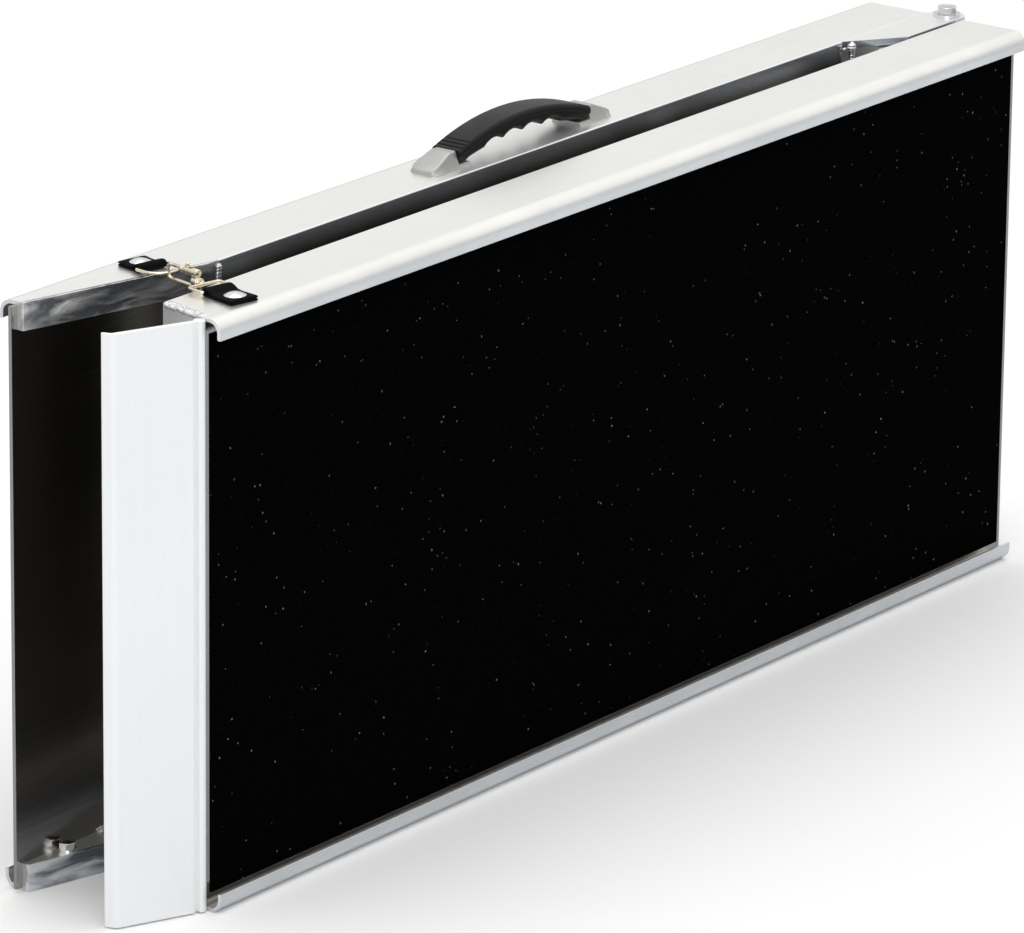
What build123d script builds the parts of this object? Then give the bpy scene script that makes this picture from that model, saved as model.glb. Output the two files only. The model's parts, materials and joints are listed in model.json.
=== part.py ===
from build123d import *
import os
from math import atan2, cos, degrees, hypot, radians, sin

# Portable wheelchair ramp that folds in half, standing folded on its long edge.
# X runs along the folded ramp, towards the hinge.  Y runs through its thickness: the front half is
# at negative Y, the rear half at positive Y.  Z runs across the ramp's width.  The floor is Z = 0,
# and the origin is the middle of the folded ramp's base.

# Rails and decks -----------------------------------------------------------------------------
rail_length = 918.0          # front rails, free end to hinge end
ramp_width = 400.0           # over both rails
rail_depth = 55.0            # curb face to inner edge
fold_gap = 32.0              # between the two halves when folded
wall = 2.5                   # rail extrusion wall
curb_height = 13.5           # curb lip over the deck
curb_radius = 9.0            # outer corner between side and curb lip
edge_radius = 1.2            # broken edges of the extrusion
tube_width = 19.0            # hollow part of the rail, across the ramp
deck_setback = 12.0          # curb face down to the deck
deck_thickness = 2.5
grit_thickness = 0.8
grit_side_margin = 9.0       # bare deck beside each rail
grit_end_margin = 4.0        # bare deck at each end
deck_weld_leg = 3.0
end_slant = 10.0             # front rails' hollows are cut back this much at their inner edge

# Rear half: longer, tapered free end ---------------------------------------------------------
rear_overrun = 47.0          # rear rails reach past the front rails
rear_deck_overrun = 6.0      # rear deck reaches past the rear rails
taper_length = 142.0
taper_tip_depth = 19.5       # depth left at the free end
weld_bead_radius = 1.5

# Hinge ---------------------------------------------------------------------------------------
hinge_setback = 4.0          # rail ends to pivot axis
deck_joint_gap = 0.3         # each deck end to the pivot plane
plate_thickness = 5.0
plate_length = 110.0
plate_straight = 68.0        # parallel part of the plate
plate_side_gap = 3.0         # plate to the other half's rail
plate_layer_gap = 1.1        # between the two plates at one pivot
spacer_thickness = 1.0
pivot_radius = 4.0
pivot_clearance = 0.08
head_clearance = 0.12
bolt_head_across = 13.0
bolt_head_height = 5.3
washer_radius = 10.0
washer_thickness = 1.6
nut_height = 8.0
bolt_tail = 2.0              # thread past the nut
sink_radius = 8.0            # countersunk head, 45 degrees to its axis
head_recess = 0.15           # countersunk head inside the plate's face
head_float = 0.05            # top washer over the rear plate
plate_weld_leg = 3.0

# Cross members -------------------------------------------------------------------------------
beam_length = 25.0           # along the ramp
beam_depth = 20.0
beam_wall = 2.0
stiffener_count = 3
stiffener_crown = 30.0
stiffener_brim = 10.0
stiffener_depth = 15.0
stiffener_wall = 2.0

# Lip plate and its bead hinge ----------------------------------------------------------------
bead_radius = 2.5
bead_clearance = 0.05
socket_wall = 1.5
socket_leg = 16.0
socket_leg_thickness = 2.0
bead_depth = 14.0            # bead axis below the curb face
socket_gap = 0.25            # socket to the rails' ends
lip_angle = 23.0             # rest angle below the deck plane
lip_swing = 30.0             # to each side of rest
mouth_margin = 6.0           # extra socket mouth, each side, in degrees
lip_root_gap = 1.15          # socket to the plate's root
lip_reach = 62.0             # bead axis to the bend
lip_front = 3.0              # plate front over the bead axis
lip_back = 1.2               # plate back under the bead axis
neck_half = 1.0
nose_angle = 52.0            # turned-down nose, from the plate
nose_length = 9.0
nose_thickness = 3.0
lip_end_gap = 1.0            # lip plate short of the ramp's width, each end
groove_pitch = 3.2
groove_width = 0.9
groove_depth = 0.35

# Carrying handle -----------------------------------------------------------------------------
handle_station = 448.0       # from the front rails' free end to the handle's middle
handle_depth = 34.0          # from the rear curb face
handle_half = 101.0
handle_width = 25.0
grip_width = 23.5
grip_half = 74.0
grip_rise = 25.0
grip_end_top = 12.5
grip_foot = 5.0              # lower edge beside the hand gap
grip_gap_half = 62.0         # half the hand gap's length
grip_gap_rise = 11.5
grip_foot_slope = 3.0        # length of the foot's sloping end, beside the hand gap
grip_round = 3.5
finger_pitch = 22.0
finger_radius = 11.0
finger_count = 4
finger_depth = 2.5
core_width = 12.0
core_thickness = 1.2
core_drop = 4.2              # below the grip's top
core_half = 84.0
core_clearance = 0.1
core_end_clearance = 0.5
cap_foot = 3.0               # base thickness
cap_tip = 4.0                # height of the cap's outer end
cap_crown = 12.2
cap_shoulder = 6.0           # level top beside the grip
cap_base_end = 62.0          # where the base ends, from the middle
cap_corner = 6.0
cap_grip_gap = 0.4
screw_depth = 3.0             # outer screws, into the caps past their base
screw_radius = 2.5
screw_head_radius = 4.6
screw_head_height = 2.6
screw_access_radius = 6.0    # hole opposite each screw, in the hollow's inner wall
screw_station = 90.0         # outer screws, from the middle
screw_inner_station = 68.5   # inner screws, from the middle

# Strap clip ----------------------------------------------------------------------------------
clip_station = 42.0          # front rivet, from the rails' free end
clip_depth = 22.0            # front rivet, from the front curb face
clip_turn = 12.0             # line of the clip, from straight across, in degrees
clip_span = 96.5             # rivet to rivet
strap_width = 22.0
strap_layer = 1.6
strap_tail = 9.5             # past the rivet
front_strap_reach = 18.0     # rivet to fold
rear_strap_reach = 11.0
wire_radius = 1.1
wire_clearance = 0.2
strap_side_gap = 0.6         # strap edge to the wire beside it
rivet_radius = 2.0
rivet_head_radius = 7.4
rivet_head_height = 2.4
rivet_tail_radius = 4.0
rivet_tail_height = 1.4
loop_length = 14.0           # swivel loop, bar to bar
loop_corner = 3.0            # at the stem's side
wire_corner = 1.6            # beside a strap
stem_showing = 1.5
stem_radius = 1.3
stem_head_radius = 2.1
stem_head_length = 2.0
stem_clearance = 0.1
barrel_radius = 3.2
barrel_lip = 2.2             # barrel end to the stem's head
barrel_length = 7.5
housing_setback = 2.0        # barrel's near end to bolt housing
housing_post = 6.0           # length of the post between barrel and bolt housing
housing_half = 2.6
housing_length = 16.9
housing_end_wall = 1.0
snap_bolt_radius = 1.25
snap_bolt_clearance = 0.06
snap_bolt_tail = 0.5         # bolt behind its stub
snap_travel = 4.5
snap_throat = 9.0            # housing to the tip of the jaw
snap_tip_gap = 0.15          # closed bolt to the tip of the jaw
stub_radius = 1.3
stub_height = 5.2            # over the bolt's axis
stub_setback = 5.5           # stub to the housing's mouth
stub_gap = 0.2               # stub to each side and end of its slot
jaw_radius = 4.75            # middle line of the jaw
jaw_bar = 1.25               # half the jaw bar's thickness
jaw_tip = 1.5
jaw_lift = 1.2               # middle of the jaw over the swivel's axis
ring_lift = 0.5              # keeper ring's near side over its bar
spring_radius = 0.95
spring_wire = 0.15           # half the wire's thickness
spring_pitch = 0.9
keeper_play = 0.6            # ring's bow past the middle of the jaw

# Bolted stud at the tapered end --------------------------------------------------------------
stud_station = 38.0          # from the rear rails' free end
stud_radius = 3.0
stud_length = 9.0            # shank inside the hollow
stud_head_across = 10.0
stud_head_height = 4.2
stud_washer_radius = 6.0
stud_washer_thickness = 1.2

# Worked out from the sizes above -------------------------------------------------------------
thickness = 2 * rail_depth + fold_gap
tube_start = deck_setback + deck_thickness
plate_end_radius = fold_gap / 2 - plate_side_gap
socket_bore = bead_radius + bead_clearance
socket_outer = socket_bore + socket_wall
bead_offset = socket_outer + socket_gap
lip_root = socket_outer + lip_root_gap
lip_direction = radians(lip_angle)
nose_direction = radians(lip_angle + nose_angle)
lip_overhang = (
    bead_offset
    + lip_reach * cos(lip_direction)
    + lip_front * sin(lip_direction)
    + nose_length * cos(nose_direction)
)
rail_end_overhang = hinge_setback + plate_end_radius
rail_start = (lip_overhang - rail_length - rail_end_overhang) / 2
rail_end = rail_start + rail_length
pivot_x = rail_end + hinge_setback
rear_start = rail_start - rear_overrun
deck_end = pivot_x - deck_joint_gap
flange_end = pivot_x - plate_length
beam_start = deck_end - beam_length
stiffener_step = (beam_start - rail_start) / (stiffener_count + 1)
taper_angle = atan2(rail_depth - taper_tip_depth, taper_length)
inner_low = tube_width
inner_high = ramp_width - tube_width
FRONT, REAR = -1, 1
LEVELS = {"bottom": 1, "top": -1}
SIDES = {"front": FRONT, "rear": REAR}
UP_CORNER = (Align.MIN, Align.MIN)
STANDING = (Align.CENTER, Align.CENTER, Align.MIN)

os.makedirs("parts", exist_ok=True)


def save(piece, label):
    """Name a finished piece and write its STEP file."""
    piece.part.label = label
    export_step(piece.part, f"parts/{label}.step")


def y_at(side, depth):
    """Y of a point that is the given depth below one half's curb face."""
    return side * (thickness / 2 - depth)


def z_low(level, inset, height):
    """Lower Z of a piece that starts the given inset inside a rail's outer face."""
    return inset if level > 0 else ramp_width - inset - height


def rail_plane(x, side, level):
    """Section plane of a rail: its X runs inward from the curb face, its Y in from the outer face."""
    outer = 0 if level > 0 else ramp_width
    return Plane(origin=(x, side * thickness / 2, outer), x_dir=(0, -side, 0), z_dir=(-side * level, 0, 0))


def vertex_at(builder, x, y):
    """The sketch corner nearest to a point."""
    return builder.vertices().sort_by_distance((x, y, 0))[0]


def clip_point(distance, height=0.0, across=0.0):
    """A point on the clip's line, from the front rivet towards the rear one."""
    turn = radians(clip_turn)
    return Vector(
        rail_start + clip_station + distance * sin(turn) + across * cos(turn),
        y_at(FRONT, clip_depth) + distance * cos(turn) - across * sin(turn),
        ramp_width + height,
    )


def clip_plane(distance, height, view):
    """Plane on the clip's line: 'side' stands along it, 'flat' is level, 'end' faces along it."""
    turn = radians(clip_turn)
    along = (sin(turn), cos(turn), 0)
    across = (cos(turn), -sin(turn), 0)
    axes = {"side": (along, across), "flat": (along, (0, 0, 1)), "end": ((-cos(turn), sin(turn), 0), along)}
    x_dir, z_dir = axes[view]
    return Plane(origin=clip_point(distance, height), x_dir=x_dir, z_dir=z_dir)


# Rails ---------------------------------------------------------------------------------------
def rail_extrusion(side, level, start):
    """Add one rail to the open part: side wall, curb lip and the hollow that carries the deck."""
    with BuildSketch(rail_plane(start, side, level)) as section:
        Rectangle(rail_depth, wall, align=UP_CORNER)
        Rectangle(wall, curb_height, align=UP_CORNER)
        with Locations((tube_start, 0)):
            Rectangle(rail_depth - tube_start, tube_width, align=UP_CORNER)
        fillet(vertex_at(section, 0, 0), curb_radius)
        fillet(vertex_at(section, wall, wall), curb_radius - wall)
        fillet(vertex_at(section, wall, curb_height), edge_radius)
        fillet(vertex_at(section, rail_depth, 0), edge_radius)
        with Locations((tube_start + wall, wall)):
            cell_depth = rail_depth - tube_start - 2 * wall
            Rectangle(cell_depth, tube_width - 2 * wall, align=UP_CORNER, mode=Mode.SUBTRACT)
    extrude(section.sketch, amount=-side * level * (rail_end - start))


def plan_solid(points, low, height, mode=Mode.ADD):
    """Add an upright prism over a polygon in plan to the open part, or cut it."""
    with BuildSketch(Plane.XY.offset(low)) as outline:
        with BuildLine():
            Polyline(*points, close=True)
        make_face()
    extrude(outline.sketch, amount=height, mode=mode)


def block(x_span, y_span, z_span, mode=Mode.ADD):
    """Add a box between pairs of limits to the open part, or cut it."""
    sizes = [max(span) - min(span) for span in (x_span, y_span, z_span)]
    with Locations((min(x_span), min(y_span), min(z_span))):
        Box(*sizes, align=(Align.MIN, Align.MIN, Align.MIN), mode=mode)


def disc(x, y, radius, low, high, mode=Mode.ADD):
    """Add an upright cylinder to the open part, or cut it."""
    with Locations((x, y, low)):
        Cylinder(radius, high - low, align=STANDING, mode=mode)


def flat_ring(x, y, outer, bore, low, height):
    """Add an upright ring to the open part."""
    with Locations((x, y, low)):
        Cylinder(outer, height, align=STANDING)
        Cylinder(bore, height, align=STANDING, mode=Mode.SUBTRACT)


def side_hole(x, y, radius):
    """Drill the upper side wall of the rail that is being built."""
    disc(x, y, radius, ramp_width - 2 * wall, ramp_width + wall, Mode.SUBTRACT)


def end_x(depth):
    """X of the front hollows' slanting end at a depth below the curb face."""
    return rail_start + end_slant * (depth - tube_start) / (rail_depth - tube_start)


front_rivet = clip_point(0)
rear_rivet = clip_point(clip_span)
cut_overrun = 8.0
slant_cut = [
    (rail_start - cut_overrun, y_at(FRONT, tube_start)),
    (rail_start, y_at(FRONT, tube_start)),
    (end_x(rail_depth), y_at(FRONT, rail_depth)),
    (end_x(rail_depth), y_at(FRONT, rail_depth + cut_overrun)),
    (rail_start - cut_overrun, y_at(FRONT, rail_depth + cut_overrun)),
]
for level_name, level in LEVELS.items():
    with BuildPart() as front_rail:
        rail_extrusion(FRONT, level, rail_start)
        plan_solid(slant_cut, z_low(level, 0, tube_width), tube_width, Mode.SUBTRACT)
        if level_name == "top":
            side_hole(front_rivet.X, front_rivet.Y, rivet_radius)
    save(front_rail, f"front_rail_{level_name}")

# The tapered end of the rear rails is cut off along the inner face of the closing plate.
taper_x = rear_start + taper_length
plate_run = wall / sin(taper_angle)
plate_tip = taper_tip_depth - wall / cos(taper_angle)
cut_drop = cut_overrun * sin(taper_angle) / cos(taper_angle)
taper_cut = [
    (rear_start - cut_overrun, y_at(REAR, plate_tip - cut_drop)),
    (taper_x + plate_run, y_at(REAR, rail_depth)),
    (taper_x + plate_run, y_at(REAR, rail_depth + cut_overrun)),
    (rear_start - cut_overrun, y_at(REAR, rail_depth + cut_overrun)),
]
taper_outline = [
    (rear_start, y_at(REAR, taper_tip_depth)),
    (taper_x, y_at(REAR, rail_depth)),
    (taper_x + plate_run, y_at(REAR, rail_depth)),
    (rear_start, y_at(REAR, plate_tip)),
]
handle_x = rail_start + handle_station
handle_y = y_at(REAR, handle_depth)
HANDLE_ENDS = {"left": -1, "right": 1}
screw_places = [
    (handle_x + end * station, handle_y)
    for end in HANDLE_ENDS.values()
    for station in (screw_station, screw_inner_station)
]
stud_x = rear_start + stud_station
stud_y = y_at(REAR, tube_start + stud_washer_radius)
flange_band = (y_at(REAR, rail_depth), y_at(REAR, rail_depth - wall))
for level_name, level in LEVELS.items():
    with BuildPart() as rear_rail:
        rail_extrusion(REAR, level, rear_start)
        plan_solid(taper_cut, z_low(level, 0, tube_width), tube_width, Mode.SUBTRACT)
        flange_low = z_low(level, wall, tube_width - wall)
        flange_high = flange_low + tube_width - wall
        block((flange_end, rail_end), flange_band, (flange_low, flange_high), Mode.SUBTRACT)
        if level_name == "top":
            side_hole(rear_rivet.X, rear_rivet.Y, rivet_radius)
            for x, y in screw_places:
                side_hole(x, y, screw_radius)
                disc(x, y, screw_access_radius, inner_high - wall, inner_high + 2 * wall, Mode.SUBTRACT)
        else:
            disc(stud_x, stud_y, stud_radius, tube_width - 2 * wall, tube_width + wall, Mode.SUBTRACT)
    save(rear_rail, f"rear_rail_{level_name}")
    with BuildPart() as taper_plate:
        plan_solid(taper_outline, z_low(level, 0, tube_width), tube_width)
    save(taper_plate, f"rear_taper_plate_{level_name}")


# Decks and what stiffens them ----------------------------------------------------------------
deck_starts = {"front": rail_start, "rear": rear_start - rear_deck_overrun}
leg_inner = tube_start + socket_leg_thickness
end_beam_start = end_x(leg_inner + beam_depth)
deck_low = wall
deck_high = ramp_width - wall
for half, side in SIDES.items():
    start = deck_starts[half]
    deck_span = (y_at(side, deck_setback), y_at(side, tube_start))
    with BuildPart() as deck:
        block((start, deck_end), deck_span, (deck_low, deck_high))
    save(deck, f"{half}_deck")

    grit_span = (y_at(side, deck_setback - grit_thickness), y_at(side, deck_setback))
    grit_x = (start + grit_end_margin, deck_end - grit_end_margin)
    with BuildPart() as grit:
        block(grit_x, grit_span, (deck_low + grit_side_margin, deck_high - grit_side_margin))
    save(grit, f"{half}_grit_surface")

    # A fillet weld along each inside corner between a deck and a rail.
    with BuildPart() as welds:
        for low, leg in ((inner_low, deck_weld_leg), (inner_high, -deck_weld_leg)):
            weld_start = end_beam_start + beam_length
            with BuildSketch(Plane.YZ.offset(weld_start)) as bead:
                with BuildLine():
                    corner = (y_at(side, tube_start), low)
                    across = (corner[0] - side * deck_weld_leg, low)
                    Polyline(corner, across, (corner[0], low + leg), close=True)
                make_face()
            extrude(amount=beam_start - weld_start)
    save(welds, f"{half}_deck_welds")

    # Hat sections across the deck, stopped short of the weld beads.
    for index in range(stiffener_count):
        middle = rail_start + (index + 1) * stiffener_step
        with BuildPart() as stiffener:
            with BuildSketch(Plane.XY.offset(inner_low + deck_weld_leg)) as hat:
                base_y = y_at(side, tube_start)
                crown = stiffener_crown / 2
                brim = crown + stiffener_brim
                top_y = base_y - side * stiffener_depth
                under_y = base_y - side * stiffener_wall
                roof_y = top_y + side * stiffener_wall
                inside = crown - stiffener_wall
                half_hat = [(inside, roof_y), (inside, base_y), (brim, base_y), (brim, under_y)]
                half_hat += [(crown, under_y), (crown, top_y)]
                outline = [(middle + x, y) for x, y in half_hat]
                outline += [(middle - x, y) for x, y in reversed(half_hat)]
                with BuildLine():
                    Polyline(*outline, close=True)
                make_face()
            extrude(amount=inner_high - inner_low - 2 * deck_weld_leg)
        save(stiffener, f"{half}_stiffener_{index + 1}")

    # A square tube behind the deck's hinge end: the two meet when the ramp is open.
    beam_y = (y_at(side, tube_start), y_at(side, tube_start + beam_depth))
    bore_y = (y_at(side, tube_start + beam_wall), y_at(side, tube_start + beam_depth - beam_wall))
    with BuildPart() as beam:
        block((beam_start, deck_end), beam_y, (inner_low, inner_high))
        bore_x = (beam_start + beam_wall, deck_end - beam_wall)
        block(bore_x, bore_y, (inner_low, inner_high), Mode.SUBTRACT)
    save(beam, f"{half}_hinge_beam")

# The front half's free end has a beam behind the lip socket and a cap in each rail.
end_beam_y = (y_at(FRONT, leg_inner), y_at(FRONT, leg_inner + beam_depth))
end_bore_y = (y_at(FRONT, leg_inner + beam_wall), y_at(FRONT, leg_inner + beam_depth - beam_wall))
with BuildPart() as end_beam:
    block((end_beam_start, end_beam_start + beam_length), end_beam_y, (inner_low, inner_high))
    bore_x = (end_beam_start + beam_wall, end_beam_start + beam_length - beam_wall)
    block(bore_x, end_bore_y, (inner_low, inner_high), Mode.SUBTRACT)
save(end_beam, "front_end_beam")

cell_depths = (tube_start + wall, rail_depth - wall)
cell_ends = [(end_x(depth), y_at(FRONT, depth)) for depth in cell_depths]
cap_outline = cell_ends + [(x + wall, y) for x, y in reversed(cell_ends)]
for level_name, level in LEVELS.items():
    cell_low = z_low(level, wall, tube_width - 2 * wall)
    with BuildPart() as cap:
        plan_solid(cap_outline, cell_low, tube_width - 2 * wall)
    save(cap, f"front_end_cap_{level_name}")


# Weld beads: half-round ropes of metal laid on a joint ---------------------------------------
def upright_bead(x, y, low, height, keep):
    """Add an upright half-round bead, kept on one side of its axis, to the open part."""
    with BuildSketch(Plane.XY.offset(low)) as section:
        with Locations((x, y)):
            Circle(weld_bead_radius)
            Rectangle(2 * weld_bead_radius, 2 * weld_bead_radius, align=keep, mode=Mode.INTERSECT)
    extrude(section.sketch, amount=height)


def end_bead(z):
    """Add a half-round bead across a front rail's slanting end, standing out past it, to the open part."""
    (start_x, start_y), (stop_x, stop_y) = cell_ends
    run_x, run_y = stop_x - start_x, stop_y - start_y
    outward = Plane(origin=(start_x, start_y, z), x_dir=(-run_y, run_x, 0), z_dir=(run_x, run_y, 0))
    with BuildSketch(outward) as section:
        Circle(weld_bead_radius)
        keep = (Align.MIN, Align.CENTER)
        Rectangle(2 * weld_bead_radius, 2 * weld_bead_radius, align=keep, mode=Mode.INTERSECT)
    extrude(section.sketch, amount=hypot(run_x, run_y))


with BuildPart() as end_welds:
    for level in LEVELS.values():
        end_bead(z_low(level, wall, 0))
save(end_welds, "front_end_welds")

bead_length = tube_width - 2 * wall
with BuildPart() as taper_welds:
    for level in LEVELS.values():
        bead_low = z_low(level, wall, bead_length)
        weld_x = taper_x + plate_run
        upright_bead(weld_x, y_at(REAR, rail_depth), bead_low, bead_length, (Align.CENTER, Align.MAX))
save(taper_welds, "rear_taper_welds")


# Hinge plates and pivots ---------------------------------------------------------------------
front_layer = plate_thickness + plate_layer_gap
PLATE_INSETS = {"rear": 0.0, "front": front_layer}
sink_mouth = sink_radius + head_recess + head_clearance
pivot_bore = pivot_radius + pivot_clearance
for half, side in SIDES.items():
    for level_name, level in LEVELS.items():
        low = z_low(level, PLATE_INSETS[half], plate_thickness)
        hole = pivot_bore if half == "rear" else pivot_radius
        with BuildPart() as plate:
            with BuildSketch(Plane.XY.offset(low)) as outline:
                with BuildLine():
                    weld_edge = side * fold_gap / 2
                    near_edge = -side * plate_end_radius
                    corner = (pivot_x, -near_edge)
                    Polyline(corner, (rail_end, weld_edge), (flange_end, weld_edge),
                             (pivot_x - plate_straight, near_edge), (pivot_x, near_edge))
                    ThreePointArc((pivot_x, near_edge), (pivot_x + plate_end_radius, 0), corner)
                make_face()
                with Locations((pivot_x, 0)):
                    Circle(hole, mode=Mode.SUBTRACT)
            extrude(amount=plate_thickness)
            if half == "rear" and level_name == "bottom":
                with Locations((pivot_x, 0, low)):
                    Cone(sink_mouth, pivot_bore, sink_mouth - pivot_bore, align=STANDING, mode=Mode.SUBTRACT)
        save(plate, f"{half}_hinge_plate_{level_name}")

# Fillet welds under the plates, and a bead down the cut end of each rear flange.
with BuildPart() as rear_hinge_welds:
    weld_run = rail_end - flange_end - 2 * weld_bead_radius
    for level in LEVELS.values():
        inner = z_low(level, wall, 0)
        plate_inner = z_low(level, plate_thickness, 0)
        weld_y = y_at(REAR, rail_depth)
        leg = plate_thickness - wall
        with BuildSketch(Plane.YZ.offset(flange_end + 2 * weld_bead_radius)) as section:
            with BuildLine():
                Polyline((weld_y, inner), (weld_y + leg, inner), (weld_y, plate_inner), close=True)
            make_face()
        extrude(section.sketch, amount=weld_run)
        bead_y = y_at(REAR, rail_depth - wall / 2)
        end_low = z_low(level, plate_thickness, bead_length + wall - plate_thickness)
        end_height = bead_length + wall - plate_thickness
        upright_bead(flange_end, bead_y, end_low, end_height, (Align.MIN, Align.CENTER))
save(rear_hinge_welds, "rear_hinge_welds")

with BuildPart() as front_hinge_welds:
    for level in LEVELS.values():
        plate_inner = z_low(level, front_layer + plate_thickness, 0)
        weld_y = y_at(FRONT, rail_depth)
        with BuildSketch(Plane.YZ.offset(flange_end)) as section:
            with BuildLine():
                Polyline((weld_y, plate_inner), (weld_y + plate_weld_leg, plate_inner),
                         (weld_y, plate_inner + level * plate_weld_leg), close=True)
            make_face()
        extrude(section.sketch, amount=rail_end - flange_end)
save(front_hinge_welds, "front_hinge_welds")

# Stacked from the outside in: rear plate, spacer, front plate, washer, lock nut.
stack_inset = front_layer + plate_thickness
nut_inset = stack_inset + washer_thickness
bolt_end_inset = nut_inset + nut_height + bolt_tail


def hexagon(x, y, across, low, height):
    """Add an upright hexagonal prism to the open part."""
    with BuildSketch(Plane.XY.offset(low)) as outline:
        with Locations((x, y)):
            RegularPolygon(across / 2, 6, major_radius=False)
    extrude(outline.sketch, amount=height)


with BuildPart() as spacers:
    for level in LEVELS.values():
        low = z_low(level, front_layer - spacer_thickness, spacer_thickness)
        flat_ring(pivot_x, 0, washer_radius, pivot_radius, low, spacer_thickness)
save(spacers, "pivot_spacers")

with BuildPart() as washers:
    places = [z_low(level, stack_inset, washer_thickness) for level in LEVELS.values()]
    places.append(ramp_width + head_float)
    for low in places:
        flat_ring(pivot_x, 0, washer_radius, pivot_radius, low, washer_thickness)
save(washers, "pivot_washers")

with BuildPart() as nuts:
    for level in LEVELS.values():
        low = z_low(level, nut_inset, nut_height)
        hexagon(pivot_x, 0, bolt_head_across, low, nut_height)
        disc(pivot_x, 0, pivot_radius, low, low + nut_height, Mode.SUBTRACT)
save(nuts, "pivot_lock_nuts")

with BuildPart() as pivot_bolt:
    head_low = ramp_width + head_float + washer_thickness
    disc(pivot_x, 0, pivot_radius, ramp_width - bolt_end_inset, head_low)
    hexagon(pivot_x, 0, bolt_head_across, head_low, bolt_head_height)
save(pivot_bolt, "pivot_bolt_top")

with BuildPart() as pivot_screw:
    disc(pivot_x, 0, pivot_radius, head_recess, bolt_end_inset)
    with Locations((pivot_x, 0, head_recess)):
        Cone(sink_radius, pivot_radius, sink_radius - pivot_radius, align=STANDING)
save(pivot_screw, "pivot_screw_bottom")


# Lip plate: an extrusion whose round bead turns in a socket behind the deck's free end -------
bead_x = rail_start - bead_offset
bead_y = y_at(FRONT, bead_depth)
lip_low = lip_end_gap
lip_height = ramp_width - 2 * lip_end_gap
lip_axes = {"x_dir": (-cos(lip_direction), sin(lip_direction), 0), "z_dir": (0, 0, 1)}
lip_plane = Plane(origin=(bead_x, bead_y, lip_low), **lip_axes)
nose_turn = radians(nose_angle)
nose_end = (lip_reach + nose_length * cos(nose_turn), lip_front - nose_length * sin(nose_turn))
nose_back = (nose_end[0] - nose_thickness * sin(nose_turn), nose_end[1] - nose_thickness * cos(nose_turn))
nose_run = (nose_back[1] + lip_back) / sin(nose_turn)
bend_back = (nose_back[0] + nose_run * cos(nose_turn), -lip_back)
groove_count = int((lip_reach - lip_root - groove_pitch) / groove_pitch)
with BuildPart() as lip_plate:
    with BuildSketch(lip_plane) as section:
        with BuildLine():
            Polyline((0, neck_half), (lip_root, neck_half), (lip_root, lip_front), (lip_reach, lip_front),
                     nose_end, nose_back, bend_back, (lip_root, -lip_back), (lip_root, -neck_half),
                     (0, -neck_half), close=True)
        make_face()
        fillet(vertex_at(section, lip_root, lip_front), edge_radius)
        fillet(vertex_at(section, lip_reach, lip_front), nose_thickness)
        Circle(bead_radius)
        for index in range(groove_count):
            with Locations((lip_root + (index + 1) * groove_pitch, lip_front)):
                Rectangle(groove_width, 2 * groove_depth, mode=Mode.SUBTRACT)
    extrude(amount=lip_height)
save(lip_plate, "lip_plate")

mouth_half = lip_swing + mouth_margin + degrees(atan2(neck_half, bead_radius))
mouth_reach = 2 * socket_outer
with BuildPart() as socket:
    with BuildSketch(lip_plane) as socket_section:
        Circle(socket_outer)
        Circle(socket_bore, mode=Mode.SUBTRACT)
        with BuildLine():
            mouth_edge = (mouth_reach * cos(radians(mouth_half)), mouth_reach * sin(radians(mouth_half)))
            Polyline((0, 0), mouth_edge, (mouth_reach, mouth_edge[1]), (mouth_reach, -mouth_edge[1]),
                     (mouth_edge[0], -mouth_edge[1]), close=True)
        make_face(mode=Mode.SUBTRACT)
    extrude(amount=lip_height)
    leg_x = (bead_x + bead_radius + socket_wall / 2, rail_start + socket_leg)
    leg_y = (y_at(FRONT, tube_start), y_at(FRONT, tube_start + socket_leg_thickness))
    block(leg_x, leg_y, (inner_low, inner_high))
save(socket, "lip_socket")


# Carrying handle: a grip on a steel strip between two cast caps, screwed on from inside the rail --
def handle_plane(across=0.0):
    """Plane of the handle's side outline: its X runs along the ramp, its Y up from the rail."""
    return Plane(origin=(handle_x, handle_y - across, ramp_width), x_dir=(1, 0, 0), z_dir=(0, -1, 0))


def arc_radius(half_span, rise):
    """Radius of an arc with this half span and rise."""
    return (half_span**2 + rise**2) / (2 * rise)


def strip(half_span, half_thickness, half_width, mode=Mode.ADD):
    """Add the curved strip that runs under the grip's top to the open part, or cut its channel."""
    radius = arc_radius(grip_half, grip_rise - grip_end_top)
    middle_height = grip_rise - core_drop
    with BuildSketch(handle_plane(half_width)) as band:
        with Locations((0, middle_height - radius)):
            Circle(radius + half_thickness)
            Circle(radius - half_thickness, mode=Mode.SUBTRACT)
        with Locations((0, middle_height)):
            Rectangle(2 * half_span, 2 * grip_rise, mode=Mode.INTERSECT)
    extrude(band.sketch, amount=-2 * half_width, mode=mode)


channel = (core_thickness / 2 + core_clearance, core_width / 2 + core_clearance)
with BuildPart() as core:
    strip(core_half, core_thickness / 2, core_width / 2)
save(core, "handle_core")

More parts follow.
